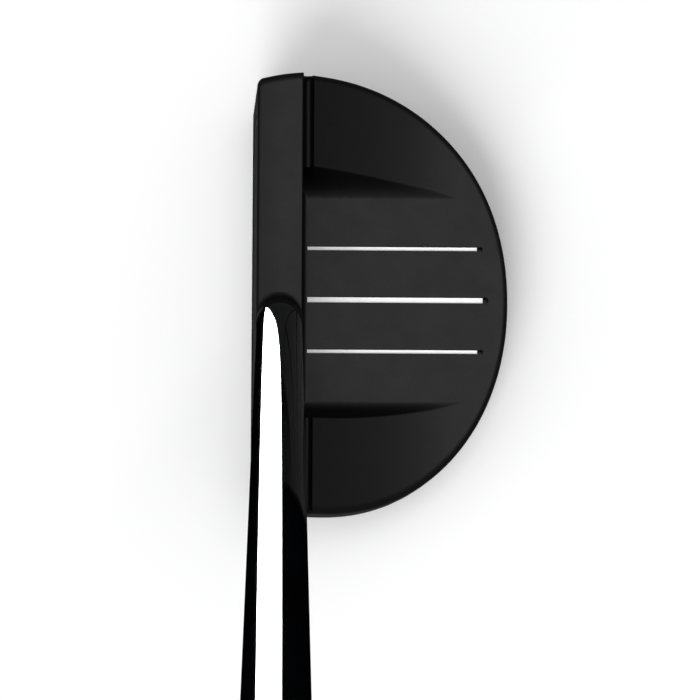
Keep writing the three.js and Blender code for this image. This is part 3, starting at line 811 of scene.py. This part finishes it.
def make_screw(node, material):
    low, high = node_box(node)
    centre = centre_of(node)
    bottom, top = low.z, high.z
    profile = [(SCREW_HEAD - 0.25, bottom), (SCREW_HEAD - 0.05, bottom + 0.06), (SCREW_HEAD, bottom + 0.2),
               (SCREW_SHANK, bottom + 1.6)]
    turns = 9
    pitch = (top - bottom - 2.6) / turns
    for k in range(turns):
        z = bottom + 2.0 + k * pitch
        profile += [(SCREW_SHANK, z), (SCREW_SHANK - 0.2, z + pitch / 2)]
    profile += [(SCREW_SHANK, top - 0.6), (SCREW_SHANK - 0.5, top)]
    rings = [circle(r, z, 48, centre) for r, z in profile]
    screw = raw_piece(node.replace("sole_", "countersunk_"), *stack(rings))
    boolean(screw, "DIFFERENCE", hex_socket(2.3, bottom, bottom + 1.2, centre))
    finish_piece(screw, material, "fastener_steel", 30)
    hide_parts(node)


def make_weight(node, material):
    low, high = node_box(node)
    centre = centre_of(node)
    bottom, top = low.z, high.z
    r = WEIGHT_RADIUS
    profile = [(r - 0.6, bottom), (r - 0.18, bottom + 0.18), (r, bottom + 0.6),
               (r, top - 0.4), (r - 0.4, top)]
    weight = raw_piece("turned_" + node, *stack([circle(radius, z, 128, centre) for radius, z in profile]))
    ring = sleeve([circle(4.5, bottom - 0.5, 96, centre), circle(4.5, bottom + 0.3, 96, centre),
                   circle(5.3, bottom + 0.3, 96, centre), circle(5.3, bottom - 0.5, 96, centre)])
    boolean(weight, "DIFFERENCE", hex_socket(5.2, bottom, bottom + 3.6, centre), raw_piece("ring", *ring))
    finish_piece(weight, material, "weight_steel", 30)
    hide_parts(node)


def make_paint(node, material):
    """Paint filled into a slot: edges that climb the slot's walls and a slightly sunken middle."""
    low, high = node_box(node)
    steps_along, steps_across = 120, 8
    half = (high.y - low.y) / 2
    middle = (high.y + low.y) / 2
    rings = []
    for i in range(steps_along + 1):
        x = lerp(low.x, high.x, i / steps_along)
        ring = [(x, middle - half, low.z), (x, middle + half, low.z)]
        for j in range(steps_across + 1):
            across = 1 - 2 * j / steps_across
            sag = 0.05 * (1 - across ** 4) + 0.006 * math.sin(7.1 * x + 3 * across)
            end_sag = 0.12 * clamp(1 - (high.x - x) / 0.5) ** 2
            ring.append((x, middle + half * across, high.z - sag - end_sag))
        rings.append(ring)
    piece = mesh_piece("filled_" + node, *stack(rings), material, "white_paint", 50)
    piece.visible_glossy = False
    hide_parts(node)


# ---------------------------------------------------------------- shaft and grip

SHAFT_TIP = 4.75
SHAFT_BUTT = 7.35
SHAFT_WALL = 0.5
SHAFT_PARALLEL = 320.0
SHAFT_TAPER = 260.0
SHAFT_START = COLLAR_TOP + 0.1
CLUB_LENGTH = 889.0
GRIP_LENGTH = 266.0
GRIP_START = CLUB_LENGTH - GRIP_LENGTH
CAP_THICKNESS = 4.5
GRIP_END = CLUB_LENGTH - CAP_THICKNESS
SHAFT_END = GRIP_END - 1.0


def shaft_radius(distance):
    return lerp(SHAFT_TIP, SHAFT_BUTT, smoothstep(distance, SHAFT_PARALLEL, SHAFT_PARALLEL + SHAFT_TAPER))


def make_shaft(material):
    distances = spaced(SHAFT_START + 0.5, SHAFT_PARALLEL, 12)
    distances += spaced(SHAFT_PARALLEL, SHAFT_PARALLEL + SHAFT_TAPER, 60)[1:] + [SHAFT_END]
    mouth = [(SHAFT_TIP - 0.2, SHAFT_START), (SHAFT_TIP - 0.06, SHAFT_START + 0.06),
             (SHAFT_TIP, SHAFT_START + 0.2)]
    outer = mouth + [(shaft_radius(d), d) for d in distances]
    inner = [(radius - SHAFT_WALL, d) for radius, d in outer[3:]]
    inner.insert(0, (SHAFT_TIP - SHAFT_WALL, SHAFT_START))
    points, faces = sleeve(turned(outer + inner[::-1], 160))
    piece = mesh_piece("polished_shaft", leaned(points), faces, material, "black_shaft", 40)
    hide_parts("shaft")


# Sections up the grip: distance as a share of its length, width, flat front, round back.
GRIP_SECTIONS = (
    (0.0, 21.4, 10.4, 11.0),
    (0.12, 22.4, 10.6, 12.0),
    (0.45, 24.2, 11.0, 14.0),
    (0.72, 25.6, 11.3, 17.2),
    (0.9, 26.6, 11.6, 20.4),
    (1.0, 26.4, 11.6, 20.8),
)
GRIP_FIT = 0.2                   # keeps the smooth grip inside the faceted CAD one
GRIP_STEPS = 128
FRONT_SQUARENESS = 0.45
BACK_SQUARENESS = 0.9
SIDE_SQUARENESS = 0.85


def grip_section(distance):
    part = clamp((distance - GRIP_START) / GRIP_LENGTH)
    for low, high in zip(GRIP_SECTIONS, GRIP_SECTIONS[1:]):
        if part <= high[0]:
            share = smoothstep(part, low[0], high[0])
            break
    width, front, back = (lerp(a, b, share) for a, b in zip(low[1:], high[1:]))
    return width - 2 * GRIP_FIT, front - GRIP_FIT, back - GRIP_FIT


def grip_ring(distance, inset):
    """A closed ring of the grip; inset is a number, or a function of the turn from the front's middle."""
    width, front, back = grip_section(distance)
    ring = []
    for i in range(GRIP_STEPS):
        turn = 2 * math.pi * (i + 0.5) / GRIP_STEPS
        across, ahead = math.sin(turn), math.cos(turn)
        deep = inset(turn) if callable(inset) else inset
        squareness = FRONT_SQUARENESS if ahead > 0 else BACK_SQUARENESS
        reach = (front if ahead > 0 else back) - deep
        x = math.copysign((width / 2 - deep) * abs(across) ** SIDE_SQUARENESS, across)
        ring.append((x, math.copysign(reach * abs(ahead) ** squareness, ahead), distance))
    return ring


def round_ring(distance, radius):
    turns = [2 * math.pi * (i + 0.5) / GRIP_STEPS for i in range(GRIP_STEPS)]
    return [(radius * math.sin(t), radius * math.cos(t), distance) for t in turns]


RIB_PITCH = 3.2
RIB_DEPTH = 0.32


def grip_pattern(distance):
    """Shallow cross grooves on the flat front, and a pair of grooves down the sides."""
    part = (distance - GRIP_START) / GRIP_LENGTH
    field = smoothstep(part, 0.06, 0.08) * (1 - smoothstep(part, 0.92, 0.94))
    phase = (distance / RIB_PITCH) % 1
    groove = smoothstep(abs(phase - 0.5) * 2, 0.7, 0.95) * field

    def inset(turn):
        from_front = min(turn, 2 * math.pi - turn)
        front = 1 - smoothstep(from_front, math.radians(38), math.radians(46))
        side = 1 - clamp(abs(from_front - math.radians(78)) / math.radians(4))
        back = smoothstep(from_front, math.radians(118), math.radians(126))
        return RIB_DEPTH * (groove * (front + 0.8 * back)) + 0.3 * smoothstep(side, 0.1, 0.9) * field
    return inset


def make_grip(material):
    outer = [grip_ring(GRIP_START, 0.9), grip_ring(GRIP_START + 0.3, 0.35), grip_ring(GRIP_START + 0.9, 0.0)]
    count = int((GRIP_END - GRIP_START - 2) / (RIB_PITCH / 8))
    outer += [grip_ring(d, grip_pattern(d)) for d in spaced(GRIP_START + 1.5, GRIP_END - 0.2, count)]
    outer.append(grip_ring(GRIP_END, 0.15))
    bore = SHAFT_BUTT + 0.1
    inner = [grip_ring(GRIP_END, 1.4), grip_ring(GRIP_START + 2, 1.4)]
    inner += [round_ring(GRIP_START + 2, bore), round_ring(GRIP_START + 0.3, bore)]
    inner.append(round_ring(GRIP_START, bore + 0.3))
    points, faces = sleeve(outer + inner)
    piece = mesh_piece("ribbed_grip_skin", leaned(points), faces, material, "grip_skin", 40)
    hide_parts("grip_skin")


CAP_RIM_DROP = 0.2               # the domed rim stays this far inside the club's length


def make_cap(material):
    bottom = GRIP_END + 0.1
    side_top = bottom + 2.3
    rim = CLUB_LENGTH - CAP_RIM_DROP
    rings = [grip_ring(bottom, 0.25), grip_ring(bottom + 0.3, 0.0), grip_ring(side_top, 0.0)]
    for k in range(1, 9):
        turn = math.pi / 2 * k / 8
        rings.append(grip_ring(lerp(side_top, rim, math.sin(turn)), 3.2 * (1 - math.cos(turn))))
    dish = rim - 0.35
    rings += [grip_ring(rim, 5.2), grip_ring(dish, 5.5), grip_ring(dish, 6.6),
              round_ring(dish, 2.2), round_ring(dish, 1.5), round_ring(dish - 0.3, 1.2),
              round_ring(bottom, 1.2)]
    points, faces = sleeve(rings)
    piece = mesh_piece("domed_grip_cap", leaned(points), faces, material, "cap_rubber", 35)
    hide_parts("grip_cap")


# ---------------------------------------------------------------- materials

class Finish:
    """A procedural material: colour, roughness and bump are built up from noise in object space."""

    def __init__(self, name, metallic, ior=1.5):
        self.material = bpy.data.materials.new(name)
        self.material.use_nodes = True
        self.tree = self.material.node_tree
        self.shader = self.tree.nodes["Principled BSDF"]
        self.shader.inputs["Metallic"].default_value = metallic
        self.shader.inputs["IOR"].default_value = ior
        self.place = self.node("ShaderNodeTexCoord").outputs["Object"]
        self.height = None

    def node(self, kind, **settings):
        made = self.tree.nodes.new(kind)
        for key, value in settings.items():
            setattr(made, key, value)
        return made

    def link(self, output, target):
        self.tree.links.new(output, target)

    def stretched(self, stretch):
        mapping = self.node("ShaderNodeMapping")
        mapping.inputs["Scale"].default_value = stretch
        self.link(self.place, mapping.inputs["Vector"])
        return mapping.outputs["Vector"]

    def noise(self, size, detail=3.0, stretch=(1, 1, 1), roughness=0.55):
        """Noise from 0 to 1 whose features are about size millimetres."""
        texture = self.node("ShaderNodeTexNoise")
        texture.inputs["Scale"].default_value = 1 / (size * MM)
        texture.inputs["Detail"].default_value = detail
        texture.inputs["Roughness"].default_value = roughness
        self.link(self.stretched(stretch), texture.inputs["Vector"])
        return texture.outputs["Fac"]

    def ramp(self, value, low, high, start=0.35, end=0.65):
        """Maps a value between start and end to a number between low and high."""
        scale = self.node("ShaderNodeMapRange")
        scale.inputs["From Min"].default_value = start
        scale.inputs["From Max"].default_value = end
        scale.inputs["To Min"].default_value = low
        scale.inputs["To Max"].default_value = high
        self.link(value, scale.inputs["Value"])
        return scale.outputs["Result"]

    def along(self, axis, start, end):
        """0 to 1 between two places on an axis of the part, in millimetres."""
        parts = self.node("ShaderNodeSeparateXYZ")
        self.link(self.place, parts.inputs["Vector"])
        return self.ramp(parts.outputs[axis], 0, 1, start * MM, end * MM)

    def both(self, a, b):
        """Product of two shares, or of a share and a number."""
        product = self.node("ShaderNodeMath", operation="MULTIPLY")
        self.link(a, product.inputs[0])
        if isinstance(b, float):
            product.inputs[1].default_value = b
        else:
            self.link(b, product.inputs[1])
        return product.outputs["Value"]

    def mix(self, share, low, high):
        mixer = self.node("ShaderNodeMix", data_type="RGBA")
        self.link(share, mixer.inputs["Factor"])
        for key, value in (("A", low), ("B", high)):
            target = next(i for i in mixer.inputs if i.name == key and i.type == "RGBA")
            if isinstance(value, tuple):
                target.default_value = (*value, 1)
            else:
                self.link(value, target)
        return next(o for o in mixer.outputs if o.type == "RGBA")

    def edge_mask(self, radius, start=0.004, end=0.05):
        """1 on convex and concave edges within radius millimetres, 0 on open surface."""
        bevel = self.node("ShaderNodeBevel", samples=4)
        bevel.inputs["Radius"].default_value = radius * MM
        plain = self.node("ShaderNodeNewGeometry").outputs["Normal"]
        dot = self.node("ShaderNodeVectorMath", operation="DOT_PRODUCT")
        self.link(bevel.outputs["Normal"], dot.inputs[0])
        self.link(plain, dot.inputs[1])
        return self.ramp(dot.outputs["Value"], 1, 0, 1 - end, 1 - start)

    def bump(self, value, depth, strength=1.0):
        bump = self.node("ShaderNodeBump")
        bump.inputs["Strength"].default_value = strength
        bump.inputs["Distance"].default_value = depth * MM
        self.link(value, bump.inputs["Height"])
        if self.height is not None:
            self.link(self.height, bump.inputs["Normal"])
        self.height = bump.outputs["Normal"]
        self.link(self.height, self.shader.inputs["Normal"])

    def color(self, output):
        self.link(output, self.shader.inputs["Base Color"])

    def rough(self, output):
        self.link(output, self.shader.inputs["Roughness"])


def satin_black():
    """Fine blasted black finish, faintly mottled, with painted shade making it deeper black in the relief
    groove and along sharp edges.
    """
    f = Finish("satin_black", 0.85)
    grain = f.noise(0.35, 4)
    cloud = f.noise(14, 3)
    tone = f.mix(f.ramp(cloud, 0, 1), (0.0200, 0.0200, 0.0205), (0.0212, 0.0212, 0.0217))
    tone = f.mix(f.ramp(grain, 0, 0.35), tone, (0.014, 0.014, 0.0145))
    # deep is the near-black colour of painted shade, used for the relief groove and the edges.
    deep = (0.005, 0.005, 0.005)
    # Painted shade: the relief groove between the bar and the wings, above the channel floor, is coloured
    # darker as if shaded by the bar and the wing edges.
    groove_end = BAR_REAR + 2 * GROOVE_RADIUS
    above_floor = f.along("Z", FLOOR_Z + 3, FLOOR_Z + 5)
    groove_shade_mask = f.both(f.along("X", groove_end + 0.1, groove_end - 0.1), above_floor)
    groove_shade_mask = f.both(groove_shade_mask, f.along("X", BAR_REAR - 0.1, BAR_REAR))
    tone = f.mix(f.both(groove_shade_mask, 0.8), tone, deep)
    # Painted shade and painted dark reflection: convex and concave edges are coloured darker, standing in for
    # the shade in creases and the dark room that rounded edges mirror.
    f.color(f.mix(f.both(f.edge_mask(0.35), 0.8), tone, deep))
    f.rough(f.ramp(f.noise(5, 4), 0.40, 0.43))
    f.bump(grain, 0.004, 0.6)
    return f.material


def gloss_black():
    """Polished black plating with a faint orange-peel and hairline marks."""
    f = Finish("gloss_black", 0.0, ior=1.6)
    f.color(f.mix(f.ramp(f.noise(40, 3), 0, 1), (0.0012, 0.0014, 0.0020), (0.0020, 0.0023, 0.0032)))
    hair = f.noise(0.5, 3, stretch=(1, 0.03, 0.03))
    f.rough(f.ramp(hair, 0.02, 0.045))
    f.bump(f.noise(3.0, 2), 0.0015, 0.3)
    return f.material


def insert_metal():
    """Dark milled alloy with cutter lines along the face."""
    f = Finish("insert_metal", 1.0)
    lines = f.noise(0.18, 3, stretch=(1, 0.02, 1))
    f.color(f.mix(f.ramp(lines, 0, 1), (0.10, 0.10, 0.105), (0.17, 0.17, 0.175)))
    f.rough(f.ramp(f.noise(3, 4), 0.30, 0.42))
    f.bump(lines, 0.006, 0.5)
    return f.material


def brushed_metal():
    """Anodised sole plate, brushed from heel to toe, with a few fine ground scuffs."""
    f = Finish("brushed_metal", 1.0)
    brushing = f.noise(0.22, 4, stretch=(1, 0.015, 1))
    scuff = f.noise(0.9, 5, stretch=(0.06, 1, 1))
    tone = f.mix(f.ramp(brushing, 0, 1), (0.21, 0.21, 0.215), (0.33, 0.33, 0.335))
    f.color(f.mix(f.ramp(scuff, 0, 0.55, 0.62, 0.72), tone, (0.48, 0.48, 0.48)))
    f.rough(f.ramp(brushing, 0.26, 0.42))
    f.bump(brushing, 0.005, 0.5)
    f.bump(f.ramp(scuff, 0, 1, 0.62, 0.72), 0.01, 0.4)
    return f.material


def turned_steel(name, low, high, ring_size):
    """Bright steel with fine turning marks and slightly stained patches."""
    f = Finish(name, 1.0)
    marks = f.noise(ring_size, 4)
    stain = f.noise(2.5, 4)
    tone = f.mix(f.ramp(marks, 0, 1), low, high)
    f.color(f.mix(f.ramp(stain, 0, 0.5, 0.5, 0.75), tone, (0.16, 0.15, 0.14)))
    f.rough(f.ramp(marks, 0.18, 0.32))
    f.bump(marks, 0.004, 0.5)
    return f.material


def matt_paint():
    """White paint fill: slightly uneven, with faint grey specks."""
    f = Finish("matt_paint", 0.0)
    speck = f.noise(0.25, 4)
    tone = f.mix(f.ramp(f.noise(3, 3), 0, 1), (0.86, 0.86, 0.87), (0.93, 0.93, 0.93))
    f.color(f.mix(f.ramp(speck, 0, 0.5, 0.62, 0.75), tone, (0.55, 0.55, 0.55)))
    f.rough(f.ramp(speck, 0.45, 0.65))
    f.bump(speck, 0.01, 0.5)
    return f.material


def rubber(name, low, high, grain_size, shine):
    """Soft black rubber: fine moulded texture, dusty in the hollows."""
    f = Finish(name, 0.0)
    grain = f.noise(grain_size, 5)
    cloud = f.noise(25, 4)
    tone = f.mix(f.ramp(cloud, 0, 1), low, high)
    dust = tuple(c * 2.2 for c in high)
    f.color(f.mix(f.ramp(grain, 0.5, 0, 0.3, 0.5), tone, dust))
    f.rough(f.ramp(f.noise(8, 3), shine, shine + 0.15))
    f.bump(grain, 0.05, 0.55)
    return f.material


def fibrous(name, low, high, fibre_size, depth):
    """Tape, paper and foam: short fibres or cells in two tones."""
    f = Finish(name, 0.0)
    fibres = f.noise(fibre_size, 5, stretch=(1, 0.3, 1))
    f.color(f.mix(f.ramp(fibres, 0, 1), low, high))
    f.rough(f.ramp(fibres, 0.75, 0.95))
    f.bump(fibres, depth, 0.6)
    return f.material


def resin():
    """Cured epoxy: amber, cloudy, with tiny bubbles."""
    f = Finish("resin", 0.0)
    bubbles = f.node("ShaderNodeTexVoronoi")
    bubbles.inputs["Scale"].default_value = 1 / (0.8 * MM)
    f.link(f.place, bubbles.inputs["Vector"])
    tone = f.mix(f.ramp(f.noise(2, 4), 0, 1), (0.42, 0.32, 0.12), (0.56, 0.45, 0.2))
    f.color(f.mix(f.ramp(bubbles.outputs["Distance"], 0.4, 0, 0.0, 0.2), tone, (0.75, 0.68, 0.5)))
    f.rough(f.ramp(f.noise(1, 3), 0.2, 0.4))
    f.bump(bubbles.outputs["Distance"], 0.03, 0.4)
    return f.material


def moulded_nylon():
    f = Finish("moulded_nylon", 0.0)
    flow = f.noise(1.5, 4, stretch=(1, 0.4, 1))
    f.color(f.mix(f.ramp(flow, 0, 1), (0.62, 0.59, 0.52), (0.74, 0.71, 0.64)))
    f.rough(f.ramp(flow, 0.4, 0.6))
    f.bump(flow, 0.01, 0.4)
    return f.material


def dress_node(node, material):
    """Gives a CAD node that stays its procedural finish."""
    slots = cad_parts[node].material_slots
    for place in slots:
        place.material = material


# ---------------------------------------------------------------- putter

make_head(satin_black())
make_insert(insert_metal())
make_plate(brushed_metal())
screw_steel = turned_steel("screw_steel", (0.42, 0.42, 0.43), (0.60, 0.60, 0.61), 0.3)
for node in SCREWS:
    make_screw(node, screw_steel)
weight_steel = turned_steel("weight_steel", (0.46, 0.46, 0.47), (0.62, 0.62, 0.63), 0.5)
for node in WEIGHTS:
    make_weight(node, weight_steel)
paint = matt_paint()
for node in ("sight_line_toe", "sight_line_centre", "sight_line_heel"):
    make_paint(node, paint)
make_shaft(gloss_black())
make_grip(rubber("grip_rubber", (0.012, 0.012, 0.012), (0.02, 0.02, 0.021), 0.5, 0.6))
make_cap(rubber("cap_rubber", (0.009, 0.009, 0.009), (0.015, 0.015, 0.015), 0.9, 0.45))
dress_node("face_insert_tape", fibrous("foam_tape", (0.22, 0.22, 0.21), (0.32, 0.32, 0.31), 0.6, 0.05))
dress_node("shaft_bond", resin())
dress_node("grip_tape", fibrous("paper_tape", (0.55, 0.50, 0.40), (0.68, 0.63, 0.52), 0.8, 0.03))
dress_node("grip_core", fibrous("grip_foam", (0.03, 0.03, 0.03), (0.06, 0.06, 0.06), 0.9, 0.15))
for node in WEIGHTS:
    dress_node(node + "_washer", moulded_nylon())


# ---------------------------------------------------------------- studio

def floor():
    """A pale seamless sweep. The dark finishes mirror the studio, not the floor."""
    bpy.ops.mesh.primitive_plane_add(size=6, location=(0, 0, -0.0002))
    plane = bpy.context.active_object
    plane.name = "floor"
    plane.visible_glossy = False
    f = Finish("floor_paper", 0.0)
    f.color(f.mix(f.ramp(f.noise(300, 2), 0, 1), (0.865, 0.865, 0.868), (0.89, 0.89, 0.893)))
    f.rough(f.ramp(f.noise(60, 2), 0.85, 0.95))
    plane.data.materials.append(f.material)


# The card that the shaft mirrors: a flat fan just above the head. It opens from beside the foot of the
# shaft, between one straight side and one side that bends away and then runs straight.
FAN_Z = 26.0
FAN_TIP_X = 3.5                  # in front of the shaft's middle
FAN_TIP_Y = -2.0
FAN_TIP_WIDTH = 3.0
FAN_STRAIGHT_DEG = 70            # bearing of the straight side, from +X towards +Y
FAN_BEND_RADIUS = 110
FAN_BEND_DEG = 40                # how far the other side turns, starting from -X
FAN_REACH = 700
FAN_BEND_STEPS = 24
FAN_STRENGTH = 23.0

BOUNCE_X = 180                   # half sizes of the card that stands in for the floor's bounce
BOUNCE_Y = 200
BOUNCE_Z = 0.05
BOUNCE_STRENGTH = 0.10

SOFT_BOX_PLACES = ((-900, -1300), (1300, -600), (900, 1200), (-1400, 500))
SOFT_BOX_HALF_WIDTH = 220
SOFT_BOX_LOW = 100
SOFT_BOX_HIGH = 1500
SOFT_BOX_STRENGTH = 6.7
SOFT_BOX_RECEIVERS = ["polished_shaft", "ribbed_grip_skin", "domed_grip_cap"]

# Strength of the room for each kind of ray.
ROOM_SEEN = 0.9
ROOM_LIGHT = 0.52
MIRRORED_GROUND = 0.008
MIRRORED_HORIZON = 0.10
MIRRORED_CEILING = 0.45

CAMERA_PLACE = (-19.60, -150.07, 810.43)
CAMERA_LENS = 195.43
CAMERA_SENSOR = 36.0
CAMERA_ASIDE_DEG = -1.0542
CAMERA_UP_DEG = 9.875
CAMERA_ROLL_DEG = 0.172


def fan_outline():
    """Outline of the fan, in millimetres, with its front facing down."""
    tip_x = SHAFT_X - FAN_TIP_X
    toe_y = FAN_TIP_Y + FAN_TIP_WIDTH / 2
    heel_y = FAN_TIP_Y - FAN_TIP_WIDTH / 2
    bearing = math.radians(FAN_STRAIGHT_DEG)
    outline = [(tip_x + FAN_REACH * math.cos(bearing), toe_y + FAN_REACH * math.sin(bearing)), (tip_x, toe_y)]
    for k in range(FAN_BEND_STEPS + 1):
        turn = math.radians(FAN_BEND_DEG) * k / FAN_BEND_STEPS
        x = tip_x - FAN_BEND_RADIUS * math.sin(turn)
        y = heel_y + FAN_BEND_RADIUS * (1 - math.cos(turn))
        outline.append((x, y))
    outline.append((x - FAN_REACH * math.cos(turn), y + FAN_REACH * math.sin(turn)))
    return [(x, y, FAN_Z) for x, y in reversed(outline)]


def lit_card(name, outline, strength, receivers):
    """A glowing sheet, seen only by the receivers and only on its front."""
    mesh = bpy.data.meshes.new(name)
    mesh.from_pydata([Vector(p) * MM for p in outline], [], [tuple(range(len(outline)))])
    card = bpy.data.objects.new(name, mesh)
    bpy.context.scene.collection.objects.link(card)
    card.visible_camera = False
    card.visible_diffuse = False
    card.visible_shadow = False
    card.visible_transmission = False
    material = bpy.data.materials.new(name)
    material.use_nodes = True
    tree = material.node_tree
    glow = tree.nodes.new("ShaderNodeEmission")
    glow.inputs["Color"].default_value = (0.97, 0.98, 1.0, 1)
    glow.inputs["Strength"].default_value = strength
    side = tree.nodes.new("ShaderNodeNewGeometry")
    pick = tree.nodes.new("ShaderNodeMixShader")
    tree.links.new(side.outputs["Backfacing"], pick.inputs["Fac"])
    tree.links.new(glow.outputs["Emission"], pick.inputs[1])
    tree.links.new(tree.nodes.new("ShaderNodeBsdfTransparent").outputs["BSDF"], pick.inputs[2])
    tree.links.new(pick.outputs["Shader"], tree.nodes["Material Output"].inputs["Surface"])
    mesh.materials.append(material)
    lit = bpy.data.collections.new("lit_by_" + name)
    for receiver in receivers:
        lit.objects.link(bpy.data.objects[receiver])
    card.light_linking.receiver_collection = lit


def upright(x, y, half_width, low, high):
    """Outline of a card standing off to one side, its front towards the putter."""
    across = Vector((-y, x, 0)).normalized() * half_width
    foot = Vector((x, y, 0))
    return [foot + across + Vector((0, 0, low)), foot - across + Vector((0, 0, low)),
            foot - across + Vector((0, 0, high)), foot + across + Vector((0, 0, high))]


def cards():
    """The stripe on the shaft, the floor's bounce on the side walls, and soft boxes for the other sides."""
    lit_card("shaft_card", fan_outline(), FAN_STRENGTH, ["polished_shaft"])
    around = [(x * BOUNCE_X, y * BOUNCE_Y, BOUNCE_Z) for x, y in ((-1, -1), (1, -1), (1, 1), (-1, 1))]
    lit_card("floor_bounce", around, BOUNCE_STRENGTH, ["head_shell", "milled_face_insert"])
    for number, (x, y) in enumerate(SOFT_BOX_PLACES):
        outline = upright(x, y, SOFT_BOX_HALF_WIDTH, SOFT_BOX_LOW, SOFT_BOX_HIGH)
        lit_card("soft_box_" + str(number), outline, SOFT_BOX_STRENGTH, SOFT_BOX_RECEIVERS)


def soft_light(name, place, target, width, height, power):
    light = bpy.data.lights.new(name, "AREA")
    light.shape = "RECTANGLE"
    light.size = width
    light.size_y = height
    light.energy = power
    hang(light, place, target)


def daylight(name, direction, spread, strength):
    """An even light from far away; spread is its width in degrees, so the softness of its shadows."""
    light = bpy.data.lights.new(name, "SUN")
    light.angle = math.radians(spread)
    light.energy = strength
    hang(light, direction, (0, 0, 0)).visible_glossy = False


def hang(light, place, target):
    lamp = bpy.data.objects.new(light.name, light)
    bpy.context.scene.collection.objects.link(lamp)
    lamp.location = place
    lamp.rotation_euler = (Vector(target) - Vector(place)).to_track_quat("-Z", "Y").to_euler()
    return lamp


class Room:
    """The surroundings: pale to the camera and dim in reflections."""

    def __init__(self):
        world = bpy.data.worlds.new("studio")
        world.use_nodes = True
        self.tree = world.node_tree
        self.direction = self.node("ShaderNodeTexCoord").outputs["Generated"]
        bpy.context.scene.world = world

    def node(self, kind, **settings):
        made = self.tree.nodes.new(kind)
        for key, value in settings.items():
            setattr(made, key, value)
        return made

    def set_or_link(self, value, target):
        if isinstance(value, (int, float)):
            target.default_value = value
        else:
            self.tree.links.new(value, target)

    def choose(self, share, low, high):
        mixer = self.node("ShaderNodeMix")
        self.set_or_link(share, mixer.inputs["Factor"])
        self.set_or_link(low, mixer.inputs["A"])
        self.set_or_link(high, mixer.inputs["B"])
        return mixer.outputs["Result"]

    def height_share(self, start, end):
        """0 to 1 as a ray's upward share goes from start to end."""
        parts = self.node("ShaderNodeSeparateXYZ")
        self.tree.links.new(self.direction, parts.inputs["Vector"])
        scale = self.node("ShaderNodeMapRange", interpolation_type="SMOOTHSTEP")
        scale.inputs["From Min"].default_value = start
        scale.inputs["From Max"].default_value = end
        self.tree.links.new(parts.outputs["Z"], scale.inputs["Value"])
        return scale.outputs["Result"]

    def reflected(self):
        """Dark below the horizon, dim above it, lighter towards the ceiling."""
        walls = self.choose(self.height_share(-0.06, 0.02), MIRRORED_GROUND, MIRRORED_HORIZON)
        return self.choose(self.height_share(0.2, 0.95), walls, MIRRORED_CEILING)

    def light_up(self):
        rays = self.node("ShaderNodeLightPath")
        strength = self.choose(rays.outputs["Is Glossy Ray"], ROOM_LIGHT, self.reflected())
        strength = self.choose(rays.outputs["Is Camera Ray"], strength, ROOM_SEEN)
        back = self.tree.nodes["Background"]
        back.inputs["Color"].default_value = (1, 1, 1, 1)
        self.tree.links.new(strength, back.inputs["Strength"])


def studio():
    Room().light_up()
    daylight("key", (-0.30, -1.0, 0.65), 40, 2.6)
    daylight("fill", (-1.0, -0.25, 0.55), 60, 0.6)
    soft_light("overhead", (0.15, 0.25, 1.6), (0, 0, 0), 0.9, 0.9, 4.6)
    bpy.context.scene.view_settings.view_transform = "Standard"


def camera():
    data = bpy.data.cameras.new("camera")
    data.lens = CAMERA_LENS
    data.sensor_width = CAMERA_SENSOR
    data.clip_start = 0.01
    eye = bpy.data.objects.new("camera", data)
    bpy.context.scene.collection.objects.link(eye)
    aside = Matrix.Rotation(math.radians(CAMERA_ASIDE_DEG), 4, "Y")
    up = Matrix.Rotation(math.radians(CAMERA_UP_DEG), 4, "X")
    roll = Matrix.Rotation(math.radians(CAMERA_ROLL_DEG), 4, "Z")
    eye.matrix_world = Matrix.Translation(Vector(CAMERA_PLACE) * MM) @ (aside @ up) @ roll
    bpy.context.scene.camera = eye


floor()
cards()
studio()
camera()
